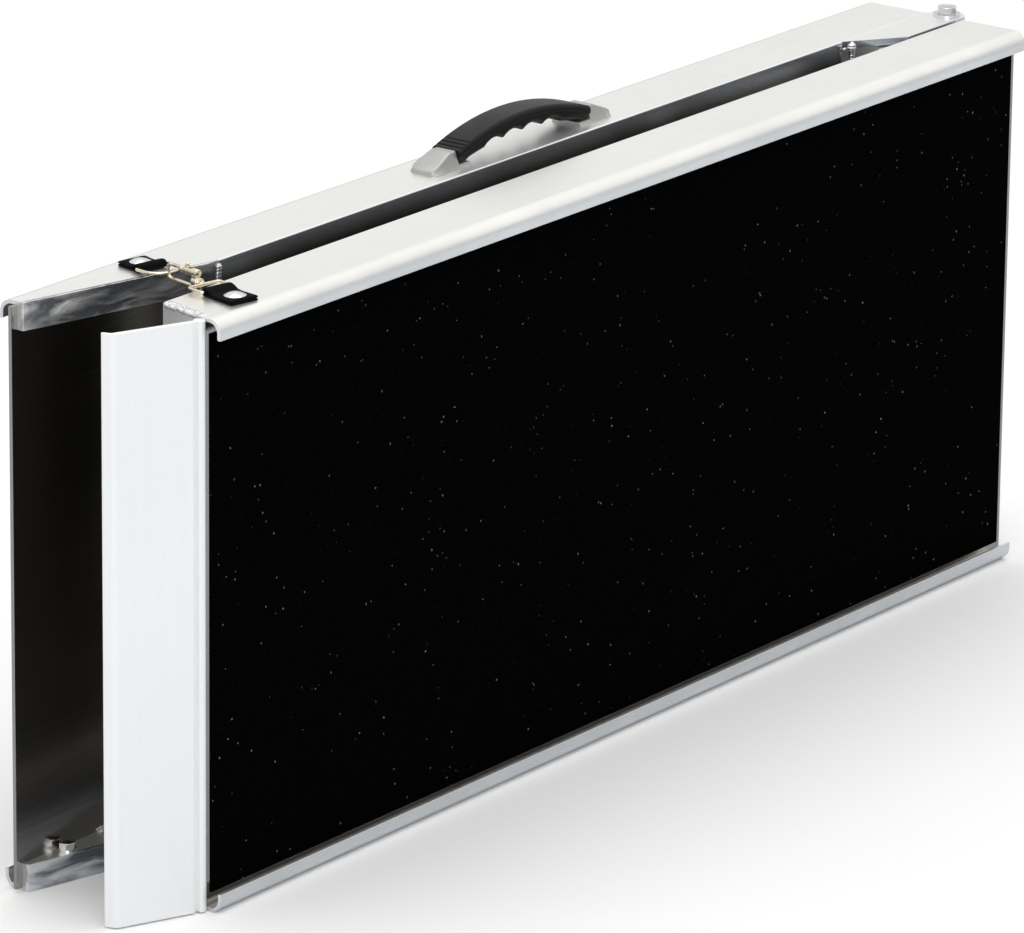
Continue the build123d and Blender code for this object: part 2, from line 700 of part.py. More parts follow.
gap_radius = arc_radius(grip_gap_half, grip_gap_rise - grip_foot)
with BuildPart() as grip:
    with BuildSketch(handle_plane(grip_width / 2)) as outline:
        foot_inner = grip_gap_half + grip_foot_slope
        with BuildLine():
            ThreePointArc((-grip_half, grip_end_top), (0, grip_rise), (grip_half, grip_end_top))
            Polyline((grip_half, grip_end_top), (grip_half, cap_foot), (foot_inner, cap_foot),
                     (grip_gap_half, grip_foot))
            ThreePointArc((grip_gap_half, grip_foot), (0, grip_gap_rise), (-grip_gap_half, grip_foot))
            Polyline((-grip_gap_half, grip_foot), (-foot_inner, cap_foot), (-grip_half, cap_foot),
                     (-grip_half, grip_end_top))
        make_face()
        for index in range(finger_count):
            station = (index - (finger_count - 1) / 2) * finger_pitch
            edge_height = grip_gap_rise - gap_radius + (gap_radius**2 - station**2) ** 0.5
            with Locations((station, edge_height + finger_depth - finger_radius)):
                Circle(finger_radius, mode=Mode.SUBTRACT)
    extrude(outline.sketch, amount=-grip_width)
    fillet(grip.edges().filter_by(GeomType.CIRCLE).group_by(Axis.Z)[-1], grip_round)
    strip(core_half, *channel, mode=Mode.SUBTRACT)
save(grip, "handle_grip")

for end_name, end in HANDLE_ENDS.items():
    with BuildPart() as handle_cap:
        with BuildSketch(handle_plane(handle_width / 2)) as outline:
            housing_start = grip_half + cap_grip_gap
            half_outline = [(cap_base_end, 0), (handle_half, 0), (handle_half, cap_tip),
                            (housing_start + cap_shoulder, cap_crown), (housing_start, cap_crown),
                            (housing_start, cap_foot), (cap_base_end, cap_foot)]
            with BuildLine():
                Polyline(*[(end * x, height) for x, height in half_outline], close=True)
            make_face()
        extrude(outline.sketch, amount=-handle_width)
        tip_edges = handle_cap.edges().filter_by(Axis.Z).sort_by(Axis.X)
        fillet(tip_edges[:2] if end < 0 else tip_edges[-2:], cap_corner)
        strip(core_half + core_end_clearance, *channel, mode=Mode.SUBTRACT)
        for station, depth in ((screw_station, cap_foot + screw_depth), (screw_inner_station, cap_foot)):
            hole_x = handle_x + end * station
            disc(hole_x, handle_y, screw_radius, ramp_width, ramp_width + depth, Mode.SUBTRACT)
    save(handle_cap, f"handle_cap_{end_name}")

with BuildPart() as handle_screws:
    under_wall = ramp_width - wall
    for x, y in screw_places:
        outer = abs(x - handle_x) > (screw_station + screw_inner_station) / 2
        tip_height = cap_foot + screw_depth if outer else cap_foot
        disc(x, y, screw_radius, under_wall, ramp_width + tip_height)
        disc(x, y, screw_head_radius, under_wall - screw_head_height, under_wall)
save(handle_screws, "handle_screws")


# Strap clip: heights are over the rails, distances run from the front rivet to the rear one ----
strap_thickness = 2 * strap_layer
fold_bore = wire_radius + wire_clearance
fold_radius = fold_bore + strap_layer
bar_height = fold_radius
wire_half = strap_width / 2 + strap_side_gap + wire_radius
loop_far = front_strap_reach + loop_length
barrel_start = loop_far + wire_radius + stem_showing
barrel_end = barrel_start + barrel_length
pocket_start = barrel_start + barrel_lip
housing_start = barrel_start + housing_setback
housing_end = housing_start + housing_length
stub_distance = housing_end - stub_setback
jaw_tip_distance = housing_end + snap_throat
jaw_distance = jaw_tip_distance + jaw_tip
jaw_height = bar_height + jaw_lift
bolt_height = jaw_height + jaw_radius
spine_height = jaw_height - jaw_radius
keeper_distance = clip_span - rear_strap_reach
keeper_far = jaw_distance + keeper_play


def clip_strap(fold, tail, rivet):
    """Add a folded strap to the open part: it runs from its fold round a wire to its free tail."""
    with BuildSketch(clip_plane(0, 0, "side")) as profile:
        with BuildLine():
            Polyline((fold, 0), (tail, 0), (tail, strap_thickness), (fold, strap_thickness), close=True)
        make_face()
        with Locations((fold, bar_height)):
            Circle(fold_radius)
            Circle(fold_bore, mode=Mode.SUBTRACT)
    extrude(profile.sketch, amount=strap_width / 2, both=True)
    with BuildSketch(clip_plane(rivet, 0, "flat")) as hole:
        Circle(rivet_radius)
    extrude(hole.sketch, amount=strap_thickness, mode=Mode.SUBTRACT)


def strap_rivet(distance):
    """Add a domed rivet through a strap and the rail's side wall to the open part."""
    centre = clip_point(distance)
    disc(centre.X, centre.Y, rivet_radius, ramp_width - wall, ramp_width + strap_thickness)
    tail_top = ramp_width - wall
    disc(centre.X, centre.Y, rivet_tail_radius, tail_top - rivet_tail_height, tail_top)
    dome_radius = arc_radius(rivet_head_radius, rivet_head_height)
    seat = Plane(origin=clip_point(distance, strap_thickness), x_dir=(1, 0, 0), z_dir=(0, -1, 0))
    with BuildSketch(seat) as dome:
        with Locations((0, rivet_head_height - dome_radius)):
            Circle(dome_radius)
        Rectangle(rivet_head_radius, rivet_head_height, align=UP_CORNER, mode=Mode.INTERSECT)
    revolve(dome.sketch, axis=Axis((centre.X, centre.Y, 0), (0, 0, 1)))


with BuildPart() as front_strap:
    clip_strap(front_strap_reach, -strap_tail, 0)
save(front_strap, "front_strap")
with BuildPart() as front_strap_rivet:
    strap_rivet(0)
save(front_strap_rivet, "front_strap_rivet")
with BuildPart() as rear_strap:
    clip_strap(keeper_distance, clip_span + strap_tail, clip_span)
save(rear_strap, "rear_strap")
with BuildPart() as rear_strap_rivet:
    strap_rivet(clip_span)
save(rear_strap_rivet, "rear_strap_rivet")

# The swivel loop hangs on the front strap; its headed stem turns in the hook's barrel.
with BuildPart() as swivel_loop:
    with BuildLine(clip_plane(front_strap_reach, bar_height, "flat")) as loop_wire:
        FilletPolyline((0, -wire_half), (loop_length, -wire_half), (loop_length, wire_half), (0, wire_half),
                       radius=[wire_corner, loop_corner, loop_corner, wire_corner], close=True)
    with BuildSketch(Plane(origin=loop_wire.wire() @ 0, z_dir=loop_wire.wire() % 0)) as wire_section:
        Circle(wire_radius)
    sweep()
    with BuildSketch(clip_plane(loop_far, bar_height, "end")) as stem:
        Circle(stem_radius)
    extrude(stem.sketch, amount=pocket_start - loop_far + stem_clearance)
    with BuildSketch(clip_plane(pocket_start + stem_clearance, bar_height, "end")) as stem_head:
        Circle(stem_head_radius)
    extrude(stem_head.sketch, amount=stem_head_length)
save(swivel_loop, "snap_swivel_loop")


def clip_rod(start, end, height, radius, mode=Mode.ADD):
    """Add a round rod along the clip's line to the open part, or cut its bore."""
    with BuildSketch(clip_plane(start, height, "end")) as section:
        Circle(radius)
    extrude(section.sketch, amount=end - start, mode=mode)


def clip_block(start, end, low, high, half_width, mode=Mode.ADD):
    """Add a block along the clip's line to the open part, or cut it."""
    with BuildSketch(clip_plane(start, 0, "end")) as section:
        with Locations((0, low)):
            Rectangle(2 * half_width, high - low, align=(Align.CENTER, Align.MIN))
    extrude(section.sketch, amount=end - start, mode=mode)


with BuildPart() as hook:
    clip_rod(barrel_start, barrel_end, bar_height, barrel_radius)
    housing_low = bolt_height - housing_half
    clip_block(housing_start, housing_end, housing_low, bolt_height, housing_half)
    clip_rod(housing_start, housing_end, bolt_height, housing_half)
    clip_block(housing_start, housing_start + housing_post, spine_height, bolt_height, housing_half)
    clip_block(housing_start, jaw_distance, spine_height - jaw_bar, spine_height + jaw_bar, jaw_bar)
    with BuildSketch(clip_plane(0, 0, "side")) as jaw:
        with Locations((jaw_distance, jaw_height)):
            Circle(jaw_radius + jaw_bar)
            Circle(jaw_radius - jaw_bar, mode=Mode.SUBTRACT)
            reach = jaw_radius + jaw_bar
            Rectangle(reach, 2 * reach, align=(Align.MIN, Align.CENTER), mode=Mode.INTERSECT)
        with Locations((jaw_tip_distance, bolt_height)):
            Rectangle(jaw_tip, 2 * jaw_bar, align=(Align.MIN, Align.CENTER))
    extrude(jaw.sketch, amount=jaw_bar, both=True)
    stem_bore = stem_radius + stem_clearance
    pocket_end = pocket_start + stem_head_length + 2 * stem_clearance
    clip_rod(barrel_start, pocket_start, bar_height, stem_bore, Mode.SUBTRACT)
    clip_rod(pocket_start, pocket_end, bar_height, stem_head_radius + stem_clearance, Mode.SUBTRACT)
    bolt_bore = snap_bolt_radius + snap_bolt_clearance
    spring_seat = housing_start + housing_end_wall
    clip_rod(spring_seat, housing_end, bolt_height, bolt_bore, Mode.SUBTRACT)
    slot_half = stub_radius + stub_gap
    slot_start = stub_distance - snap_travel - slot_half
    slot_end = stub_distance + slot_half
    clip_block(slot_start, slot_end, bolt_height, bolt_height + stub_height, slot_half, Mode.SUBTRACT)
save(hook, "snap_hook_body")

bolt_start = stub_distance - stub_radius - snap_bolt_tail
with BuildPart() as snap_bolt:
    clip_rod(bolt_start, jaw_tip_distance - snap_tip_gap, bolt_height, snap_bolt_radius)
    stub = clip_point(stub_distance)
    disc(stub.X, stub.Y, stub_radius, ramp_width + bolt_height, ramp_width + bolt_height + stub_height)
save(snap_bolt, "snap_bolt")

# A coil spring pushes the bolt shut.  It is drawn at the length that the open bolt leaves it.
with BuildPart() as snap_spring:
    spring_turns = int((bolt_start - snap_travel - spring_seat - 2 * spring_wire) / spring_pitch)
    seat = clip_plane(spring_seat + spring_wire, bolt_height, "end")
    with BuildLine() as coil:
        length = spring_turns * spring_pitch
        Helix(spring_pitch, length, spring_radius, center=seat.origin, direction=seat.z_dir)
    with BuildSketch(Plane(origin=coil.wire() @ 0, z_dir=coil.wire() % 0)) as wire_section:
        Circle(spring_wire)
    sweep()
save(snap_spring, "snap_spring")

# The keeper ring's bar lies in the rear strap's fold, and its bow passes through the hook's jaw.
keeper_tilt = atan2(ring_lift, keeper_distance - keeper_far)
with BuildPart() as keeper_ring:
    turn = radians(clip_turn)
    toward_jaw = (-sin(turn) * cos(keeper_tilt), -cos(turn) * cos(keeper_tilt), sin(keeper_tilt))
    across = (cos(turn), -sin(turn), 0)
    bow_length = (keeper_distance - keeper_far) / cos(keeper_tilt)
    ring_plane = Plane(origin=clip_point(keeper_distance, bar_height), x_dir=across,
                       z_dir=Vector(across).cross(Vector(toward_jaw)))
    with BuildLine(ring_plane) as bow:
        side_length = bow_length - wire_half
        FilletPolyline((-wire_half, side_length), (-wire_half, 0), (wire_half, 0), (wire_half, side_length),
                       radius=wire_corner)
        ThreePointArc((wire_half, side_length), (0, bow_length), (-wire_half, side_length))
    with BuildSketch(Plane(origin=bow.wire() @ 0, z_dir=bow.wire() % 0)) as wire_section:
        Circle(wire_radius)
    sweep()
save(keeper_ring, "keeper_ring")


# Bolted stud on the inner wall of the rear bottom rail ---------------------------------------
with BuildPart() as stud_washer:
    flat_ring(stud_x, stud_y, stud_washer_radius, stud_radius, inner_low, stud_washer_thickness)
save(stud_washer, "rear_stud_washer")
with BuildPart() as stud_bolt:
    stud_seat = inner_low + stud_washer_thickness
    disc(stud_x, stud_y, stud_radius, inner_low - wall - stud_length, stud_seat)
    hexagon(stud_x, stud_y, stud_head_across, stud_seat, stud_head_height)
save(stud_bolt, "rear_stud_bolt")
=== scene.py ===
"""The looks of a portable folding wheelchair ramp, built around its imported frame.

The frame gives every place: X runs along the folded ramp towards its hinge, Y through its
thickness from the front half to the rear half, and Z up across its width.  All sizes are metres.
"""

import json
import logging
import math
from collections.abc import Sequence
from dataclasses import dataclass
from enum import Enum

import bmesh
import bpy
import numpy as np
from mathutils import Matrix, Vector


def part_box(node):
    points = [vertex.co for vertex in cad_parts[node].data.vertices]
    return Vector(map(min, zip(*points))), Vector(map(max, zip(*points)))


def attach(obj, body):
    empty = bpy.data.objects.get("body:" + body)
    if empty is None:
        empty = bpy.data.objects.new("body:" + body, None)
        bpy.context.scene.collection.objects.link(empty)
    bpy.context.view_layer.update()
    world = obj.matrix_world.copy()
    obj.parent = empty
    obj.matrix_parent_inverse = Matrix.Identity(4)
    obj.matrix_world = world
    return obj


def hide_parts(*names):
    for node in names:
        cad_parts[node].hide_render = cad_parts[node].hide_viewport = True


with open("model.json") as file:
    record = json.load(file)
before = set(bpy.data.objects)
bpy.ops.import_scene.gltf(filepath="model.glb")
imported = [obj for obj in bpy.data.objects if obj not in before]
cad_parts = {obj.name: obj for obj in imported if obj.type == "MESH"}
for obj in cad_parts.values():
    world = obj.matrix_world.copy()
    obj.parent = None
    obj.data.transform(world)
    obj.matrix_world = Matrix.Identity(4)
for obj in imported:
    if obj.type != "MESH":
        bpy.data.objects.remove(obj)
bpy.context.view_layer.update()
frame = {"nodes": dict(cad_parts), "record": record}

LOG = logging.getLogger("ramp")
MM = 0.001
JOIN = 0.0001 * MM
UP = np.array([0.0, 0, 1])
LENGTHWISE = np.array([1.0, 0, 0])
Array = np.ndarray
Socket = bpy.types.NodeSocket
Node = bpy.types.Node
NodeTree = bpy.types.NodeTree
Material = bpy.types.Material
Colour = tuple[float, float, float]


class Body(Enum):
    """The rigid bodies that pieces ride on."""

    FRONT = "front_half"
    REAR = "rear_half"
    LIP = "lip"
    LOOP = "clip_loop"
    HOOK = "snap_hook"
    TRIGGER = "snap_trigger"
    KEEPER = "keeper"


class Slot(Enum):
    """The record's material slots."""

    RAIL = "rail_aluminium"
    DECK = "deck_aluminium"
    POLISHED = "polished_aluminium"
    LIP = "lip_aluminium"
    WELD = "weld_metal"
    GRIT = "grit"
    GRIP = "grip_plastic"
    CAP = "cap_silver"
    WEBBING = "webbing"
    SNAP = "snap_metal"
    ZINC = "zinc_steel"
    NYLON = "spacer_nylon"


# Surfaces ------------------------------------------------------------------------------------
@dataclass
class Surface:
    """A closed surface: a grid of points, wrapped round its second parameter, with closed ends.

    Attributes:
        points: Array of shape (rows, columns, 3).
        ring: True when the rows wrap too, as on a closed wire.
        flat_ends: True when each open end is one flat face of any outline.
    """

    points: Array
    ring: bool = False
    flat_ends: bool = False

    def arrays(self) -> tuple[Array, list[list[int]]]:
        """Work out vertices and faces.

        Row i, column j is vertex i * columns + j.  Each cell of the grid is one quad, the last
        column joins the first, and an open end is closed by a fan to its middle point or by one face.

        Returns:
            The vertices, and the faces as lists of vertex numbers.
        """
        rows, columns, _ = self.points.shape
        vertices = self.points.reshape(-1, 3)
        last = rows if self.ring else rows - 1
        i, j = np.meshgrid(np.arange(last), np.arange(columns), indexing="ij")
        across = (j + 1) % columns
        below = (i + 1) % rows
        quads = np.stack([i * columns + j, i * columns + across,
                          below * columns + across, below * columns + j], -1)
        faces = quads.reshape(-1, 4).tolist()
        if self.flat_ends:
            faces += [list(range(columns))[::-1], list(range((rows - 1) * columns, rows * columns))]
        elif not self.ring:
            poles = np.stack([self.points[0].mean(0), self.points[-1].mean(0)])
            first, second = len(vertices), len(vertices) + 1
            vertices = np.vstack([vertices, poles])
            j = np.arange(columns)
            near = np.stack([np.full(columns, first), (j + 1) % columns, j], -1)
            base = (rows - 1) * columns
            far = np.stack([np.full(columns, second), base + j, base + (j + 1) % columns], -1)
            faces += near.tolist() + far.tolist()
        return vertices, faces


def add_object(name: str, data: bpy.types.ID | None) -> bpy.types.Object:
    """Make an object of the data and put it in the scene."""
    made = bpy.data.objects.new(name, data)
    bpy.context.scene.collection.objects.link(made)
    return made


def smoothstep(value: Array | float, low: float, high: float) -> Array:
    """Rise smoothly from 0 at low to 1 at high: t * t * (3 - 2 t), t the clamped share of the way."""
    share = np.clip((value - low) / (high - low), 0, 1)
    return share * share * (3 - 2 * share)


def circle(count: int, radius: float = 1.0) -> Array:
    """Points (cos a, sin a) * radius at equal steps round a circle, shape (count, 2)."""
    angle = np.linspace(0, 2 * math.pi, count, endpoint=False)
    return radius * np.stack([np.cos(angle), np.sin(angle)], -1)


def superellipse(count: int, half_width: float, half_height: float, power: float) -> Array:
    """A rounded rectangle: half size * sign(c) |c| ** power for c = cos and sin of the angle."""
    turn = circle(count)
    return np.array([half_width, half_height]) * np.sign(turn) * np.abs(turn) ** power


def carry(path: Array, section: Array, normal: Array, ring: bool = False) -> Surface:
    """Carry a section along a path that lies in one plane.

    A point of the surface is path + side * section x + normal * section y, where side is the
    tangent crossed with the plane's normal.

    Args:
        path: Points of the path, shape (rows, 3).
        section: Section points, shape (columns, 2) or (rows, columns, 2).
        normal: Unit normal of the path's plane.
        ring: True for a closed path.

    Returns:
        The surface.
    """
    if ring:
        tangent = np.roll(path, -1, 0) - np.roll(path, 1, 0)
    else:
        tangent = np.gradient(path, axis=0)
    tangent /= np.linalg.norm(tangent, axis=1, keepdims=True)
    side = np.cross(tangent, normal)
    section = np.broadcast_to(section, (len(path), *section.shape[-2:]))
    points = path[:, None] + side[:, None] * section[..., :1] + normal * section[..., 1:]
    return Surface(points, ring)


def round_bar(path: Array, radius: Array, normal: Array, count: int) -> Surface:
    """Carry a circle whose radius changes along the path."""
    return carry(path, circle(count)[None] * radius[:, None, None], normal)


def spun(profile: Sequence[tuple[float, float]], origin: Array, axis: Array, count: int = 40) -> Surface:
    """Turn a profile about an axis: origin + axis * height + radius * (cos a, sin a) square to it.

    Args:
        profile: (radius, height) pairs from one end to the other.
        origin: Where height is 0.
        axis: Unit vector.
        count: Points round the axis.

    Returns:
        The surface.
    """
    shape = np.array(profile, float)
    helper = np.array([0.0, 0, 1]) if abs(axis[2]) < 0.9 else np.array([1.0, 0, 0])
    first = np.cross(axis, helper)
    first /= np.linalg.norm(first)
    second = np.cross(axis, first)
    turn = circle(count)
    out = turn[:, :1] * first + turn[:, 1:] * second
    return Surface(origin + shape[:, None, 1:] * axis + shape[:, None, :1] * out)


def arc_points(centre: Sequence[float], radius: float, start: float, stop: float, count: int) -> Array:
    """Points of an arc from start to stop degrees, shape (count, 2)."""
    angle = np.radians(np.linspace(start, stop, count))
    return np.array(centre) + radius * np.stack([np.cos(angle), np.sin(angle)], -1)


def arch(x: Array, half: float, low: float, high: float) -> Array:
    """Height of a circle's arc that is high at x = 0 and low at x = half."""
    sag = high - low
    radius = (half**2 + sag**2) / (2 * sag)
    return high - radius + np.sqrt(radius**2 - x**2)


def resample(points: Array, count: int, ring: bool = False) -> Array:
    """Spread points evenly by length along a broken line."""
    line = np.vstack([points, points[:1]]) if ring else points
    run = np.concatenate([[0], np.cumsum(np.linalg.norm(np.diff(line, axis=0), axis=1))])
    target = np.linspace(0, run[-1], count, endpoint=not ring)
    return np.stack([np.interp(target, run, line[:, k]) for k in range(line.shape[1])], -1)


def hexagon_head(across: float, height: float, base: Array, count: int = 96) -> Surface:
    """An upright bolt head.

    The radius is that of a hexagon, half the size across flats over cos of the angle from the
    nearest flat's middle, limited by a chamfer cone that narrows towards the top.

    Args:
        across: Size across flats.
        height: Height of the head.
        base: Middle of its under side.
        count: Points round it.

    Returns:
        The surface.
    """
    angle = np.linspace(0, 2 * math.pi, count, endpoint=False)
    sixth = math.pi / 3
    flat = across / 2 / np.cos((angle + sixth / 2) % sixth - sixth / 2)
    heights = np.array([0, 0.02, 0.5, 0.72, 0.8, 0.88, 0.95, 1.0, 1.0, 0.97]) * height
    cone = across / 2 * 0.95 + (height - heights) * 1.9
    cone[0] = across / 2 * 1.1
    cone[-2:] = across / 2 * np.array([0.93, 0.86])
    radius = np.minimum(flat[None], cone[:, None])
    points = np.stack([radius * np.cos(angle), radius * np.sin(angle),
                       np.broadcast_to(heights[:, None], radius.shape)], -1)
    return Surface(points + base)


# Node groups and finishes --------------------------------------------------------------------
ALONG_LENGTH = (6.0, 900.0, 900.0)
HALF_WIDTH = 200 * MM
UPRIGHT = 0.8


class Tree:
    """A thin writer of node trees."""

    def __init__(self, tree: NodeTree) -> None:
        """Keep the tree to write in."""
        self.tree = tree

    def node(self, kind: str, **settings: object) -> Node:
        """Add a node.

        Args:
            kind: The node's type without its ShaderNode prefix.
            settings: Properties of the node, or input values under names with a leading i_.

        Returns:
            The node.
        """
        made = self.tree.nodes.new("ShaderNode" + kind)
        for name, value in settings.items():
            if name.startswith("i_"):
                key = name[2:]
                made.inputs[int(key) if key.isdigit() else key.replace("_", " ")].default_value = value
            else:
                setattr(made, name, value)
        return made

    def link(self, source: Socket, target: Socket) -> None:
        """Join two sockets."""
        self.tree.links.new(source, target)

    def feed(self, target: Socket, value: object) -> None:
        """Link a socket, or set a plain value."""
        if isinstance(value, Socket):
            self.link(value, target)
        else:
            target.default_value = value

    def placed(self, kind: str, place: Socket, **settings: object) -> Node:
        """Add a node whose first input is a place or another vector."""
        made = self.node(kind, **settings)
        self.link(place, made.inputs[0])
        return made

    def group(self, name: str, place: Socket, **settings: object) -> Node:
        """Add one of this script's groups, fed with a place."""
        return self.placed("Group", place, node_tree=GROUPS[name], **settings)

    def math(self, operation: str, first: object, second: object = 0.0) -> Socket:
        """Add a Math node whose inputs are sockets or numbers, and give its output."""
        made = self.node("Math", operation=operation)
        self.feed(made.inputs[0], first)
        self.feed(made.inputs[1], second)
        return made.outputs[0]

    def product(self, *factors: object) -> Socket:
        """Multiply two or more sockets or numbers."""
        result = factors[0]
        for factor in factors[1:]:
            result = self.math("MULTIPLY", result, factor)
        return result

    def span(self, value: Socket, low: float, high: float, start: float = 0.0,
             stop: float = 1.0) -> Socket:
        """Map low..high to start..stop, clamped, and give the output."""
        return self.placed("MapRange", value, i_1=low, i_2=high, i_3=start, i_4=stop).outputs[0]

    def blend(self, share: Socket, first: object, second: object) -> Socket:
        """Mix two colours, each a socket or a tuple, and give the output."""
        made = self.placed("Mix", share, data_type="RGBA")
        for index, value in ((6, first), (7, second)):
            self.feed(made.inputs[index], value if isinstance(value, Socket) else (*value, 1))
        return made.outputs[2]

    def over(self, target: Socket, share: Socket, colour: object) -> None:
        """Blend a colour over what the target socket already takes."""
        self.link(self.blend(share, target.links[0].from_socket, colour), target)


def new_group(name: str, inputs: Sequence[tuple[str, str, object]],
              outputs: Sequence[tuple[str, str]]) -> tuple[NodeTree, Tree, Node, Node]:
    """Start a shader node group.

    Args:
        name: The group's name.
        inputs: (name, kind, value) of each input; kind is Float or Vector.
        outputs: (name, kind) of each output.

    Returns:
        The group, a writer for it, and its input and output nodes.
    """
    group = bpy.data.node_groups.new(name, "ShaderNodeTree")
    for label, kind, value in inputs:
        socket = group.interface.new_socket(label, in_out="INPUT", socket_type="NodeSocket" + kind)
        if value is not None:
            socket.default_value = value
    for label, kind in outputs:
        group.interface.new_socket(label, in_out="OUTPUT", socket_type="NodeSocket" + kind)
    return group, Tree(group), group.nodes.new("NodeGroupInput"), group.nodes.new("NodeGroupOutput")


def drawn_lines_group() -> NodeTree:
    """Fine lines along one direction: noise of the place times a stretch, and a slow mottle."""
    group, tree, given, out = new_group(
        "drawn_lines",
        [("Place", "Vector", None), ("Stretch", "Vector", ALONG_LENGTH), ("Mottle Scale", "Float", 9.0)],
        [("Lines", "Float"), ("Mottle", "Float")])
    scaled = tree.placed("VectorMath", given.outputs["Place"], operation="MULTIPLY")
    tree.link(given.outputs["Stretch"], scaled.inputs[1])
    fine = tree.placed("TexNoise", scaled.outputs[0], i_Scale=1.0, i_Detail=3.0, i_Roughness=0.65)
    slow = tree.placed("TexNoise", given.outputs["Place"], i_Detail=5.0, i_Roughness=0.6)
    tree.link(given.outputs["Mottle Scale"], slow.inputs["Scale"])
    tree.link(tree.span(fine.outputs[0], 0.3, 0.7), out.inputs["Lines"])
    tree.link(tree.span(slow.outputs[0], 0.3, 0.7), out.inputs["Mottle"])
    return group


def edge_wear_and_highlight_group() -> NodeTree:
    """Rounded edge normals, and a patchy mask, 1 where they turn away from the true face, for worn edges
    and a painted edge highlight.
    """
    group, tree, given, out = new_group(
        "edge_wear_and_highlight", [("Place", "Vector", None), ("Radius", "Float", 0.5 * MM)],
        [("Edge", "Float"), ("Normal", "Vector")])
    bevel = tree.placed("Bevel", given.outputs["Radius"], samples=4)
    agree = tree.placed("VectorMath", bevel.outputs[0], operation="DOT_PRODUCT")
    tree.link(tree.node("NewGeometry").outputs["Normal"], agree.inputs[1])
    edge = tree.span(agree.outputs["Value"], 0.995, 0.86)
    worn = tree.placed("TexNoise", given.outputs["Place"], i_Scale=160.0, i_Detail=4.0)
    patches = tree.span(worn.outputs[0], 0.35, 0.6, 0.35, 1.0)
    tree.link(tree.product(edge, patches), out.inputs["Edge"])
    tree.link(bevel.outputs[0], out.inputs["Normal"])
    return group


def blotch_group() -> NodeTree:
    """Soft handling marks: two sizes of noise, one turned against the other."""
    group, tree, given, out = new_group(
        "blotches", [("Place", "Vector", None), ("Scale", "Float", 30.0)], [("Amount", "Float")])
    coarse = tree.placed("TexNoise", given.outputs["Place"], i_Detail=6.0, i_Distortion=0.6)
    fine = tree.placed("TexNoise", given.outputs["Place"], i_Detail=8.0, i_Roughness=0.7)
    for texture, factor in ((coarse, 1.0), (fine, 5.3)):
        tree.link(tree.product(given.outputs["Scale"], factor), texture.inputs["Scale"])
    parts = [tree.product(coarse.outputs[0], 0.65), tree.product(fine.outputs[0], 0.35)]
    tree.link(tree.span(tree.math("ADD", *parts), 0.38, 0.64), out.inputs["Amount"])
    return group


def new_material(name: str) -> tuple[Material, Tree, Node]:
    """Start a material, and give it with a writer for its nodes and its shader."""
    material = bpy.data.materials.new(name)
    material.use_nodes = True
    return material, Tree(material.node_tree), material.node_tree.nodes["Principled BSDF"]


@dataclass(frozen=True)
class Finish:
    """What every finish of the ramp has.

    Attributes:
        name: The material's name.
        dark: Colour in the hollows of the pattern.
        light: Colour on its heights.
        metallic: 0 for plastic, cloth and paint, 1 for bare metal.
        rough: Lowest and highest roughness.
        edge_colour: Colour of worn edges, which also paints a highlight along them.
        edge_radius: Radius of the rounded edges' look.
        bump: Height of the fine relief, in metres.
        mottle: Scale of the slow variation, per metre.
        inputs: Names and values of other shader inputs.
    """

    name: str
    dark: Colour
    light: Colour
    metallic: float = 1.0
    rough: tuple[float, float] = (0.3, 0.42)
    edge_colour: Colour = (0.9, 0.9, 0.9)
    edge_radius: float = 0.5 * MM
    bump: float = 0.02 * MM
    mottle: float = 9.0
    inputs: tuple[tuple[str, float], ...] = ()

    def relief(self, tree: Tree, place: Socket) -> tuple[Socket, Socket]:
        """Give the colour share and the height of the fine relief; a kind of finish overrides it."""
        marks = tree.group("blotches", place, i_Scale=self.mottle).outputs["Amount"]
        return marks, marks

    def build(self) -> Material:
        """Build the material: relief into colour, roughness and bump, and worn edges with a painted edge
        highlight over it.
        """
        material, tree, shader = new_material(self.name)
        for key, value in (("Metallic", self.metallic), *self.inputs):
            shader.inputs[key].default_value = value
        place = tree.node("TexCoord").outputs["Object"]
        share, height = self.relief(tree, place)
        wear_and_highlight = tree.group("edge_wear_and_highlight", place, i_Radius=self.edge_radius)
        tree.link(tree.blend(share, self.dark, self.light), shader.inputs["Base Color"])
        # The edge colour stands for wear and for a painted highlight along rounded edges.
        tree.over(shader.inputs["Base Color"], wear_and_highlight.outputs["Edge"], self.edge_colour)
        low, high = self.rough
        tree.link(tree.span(share, 0, 1, high, low), shader.inputs["Roughness"])
        relief = tree.node("Bump", i_Strength=1.0, i_Distance=self.bump)
        tree.link(height, relief.inputs["Height"])
        tree.link(wear_and_highlight.outputs["Normal"], relief.inputs["Normal"])
        tree.link(relief.outputs[0], shader.inputs["Normal"])
        self.finish(tree, shader, place)
        return material

    def finish(self, tree: Tree, shader: Node, place: Socket) -> None:
        """Add what only one kind of finish has."""


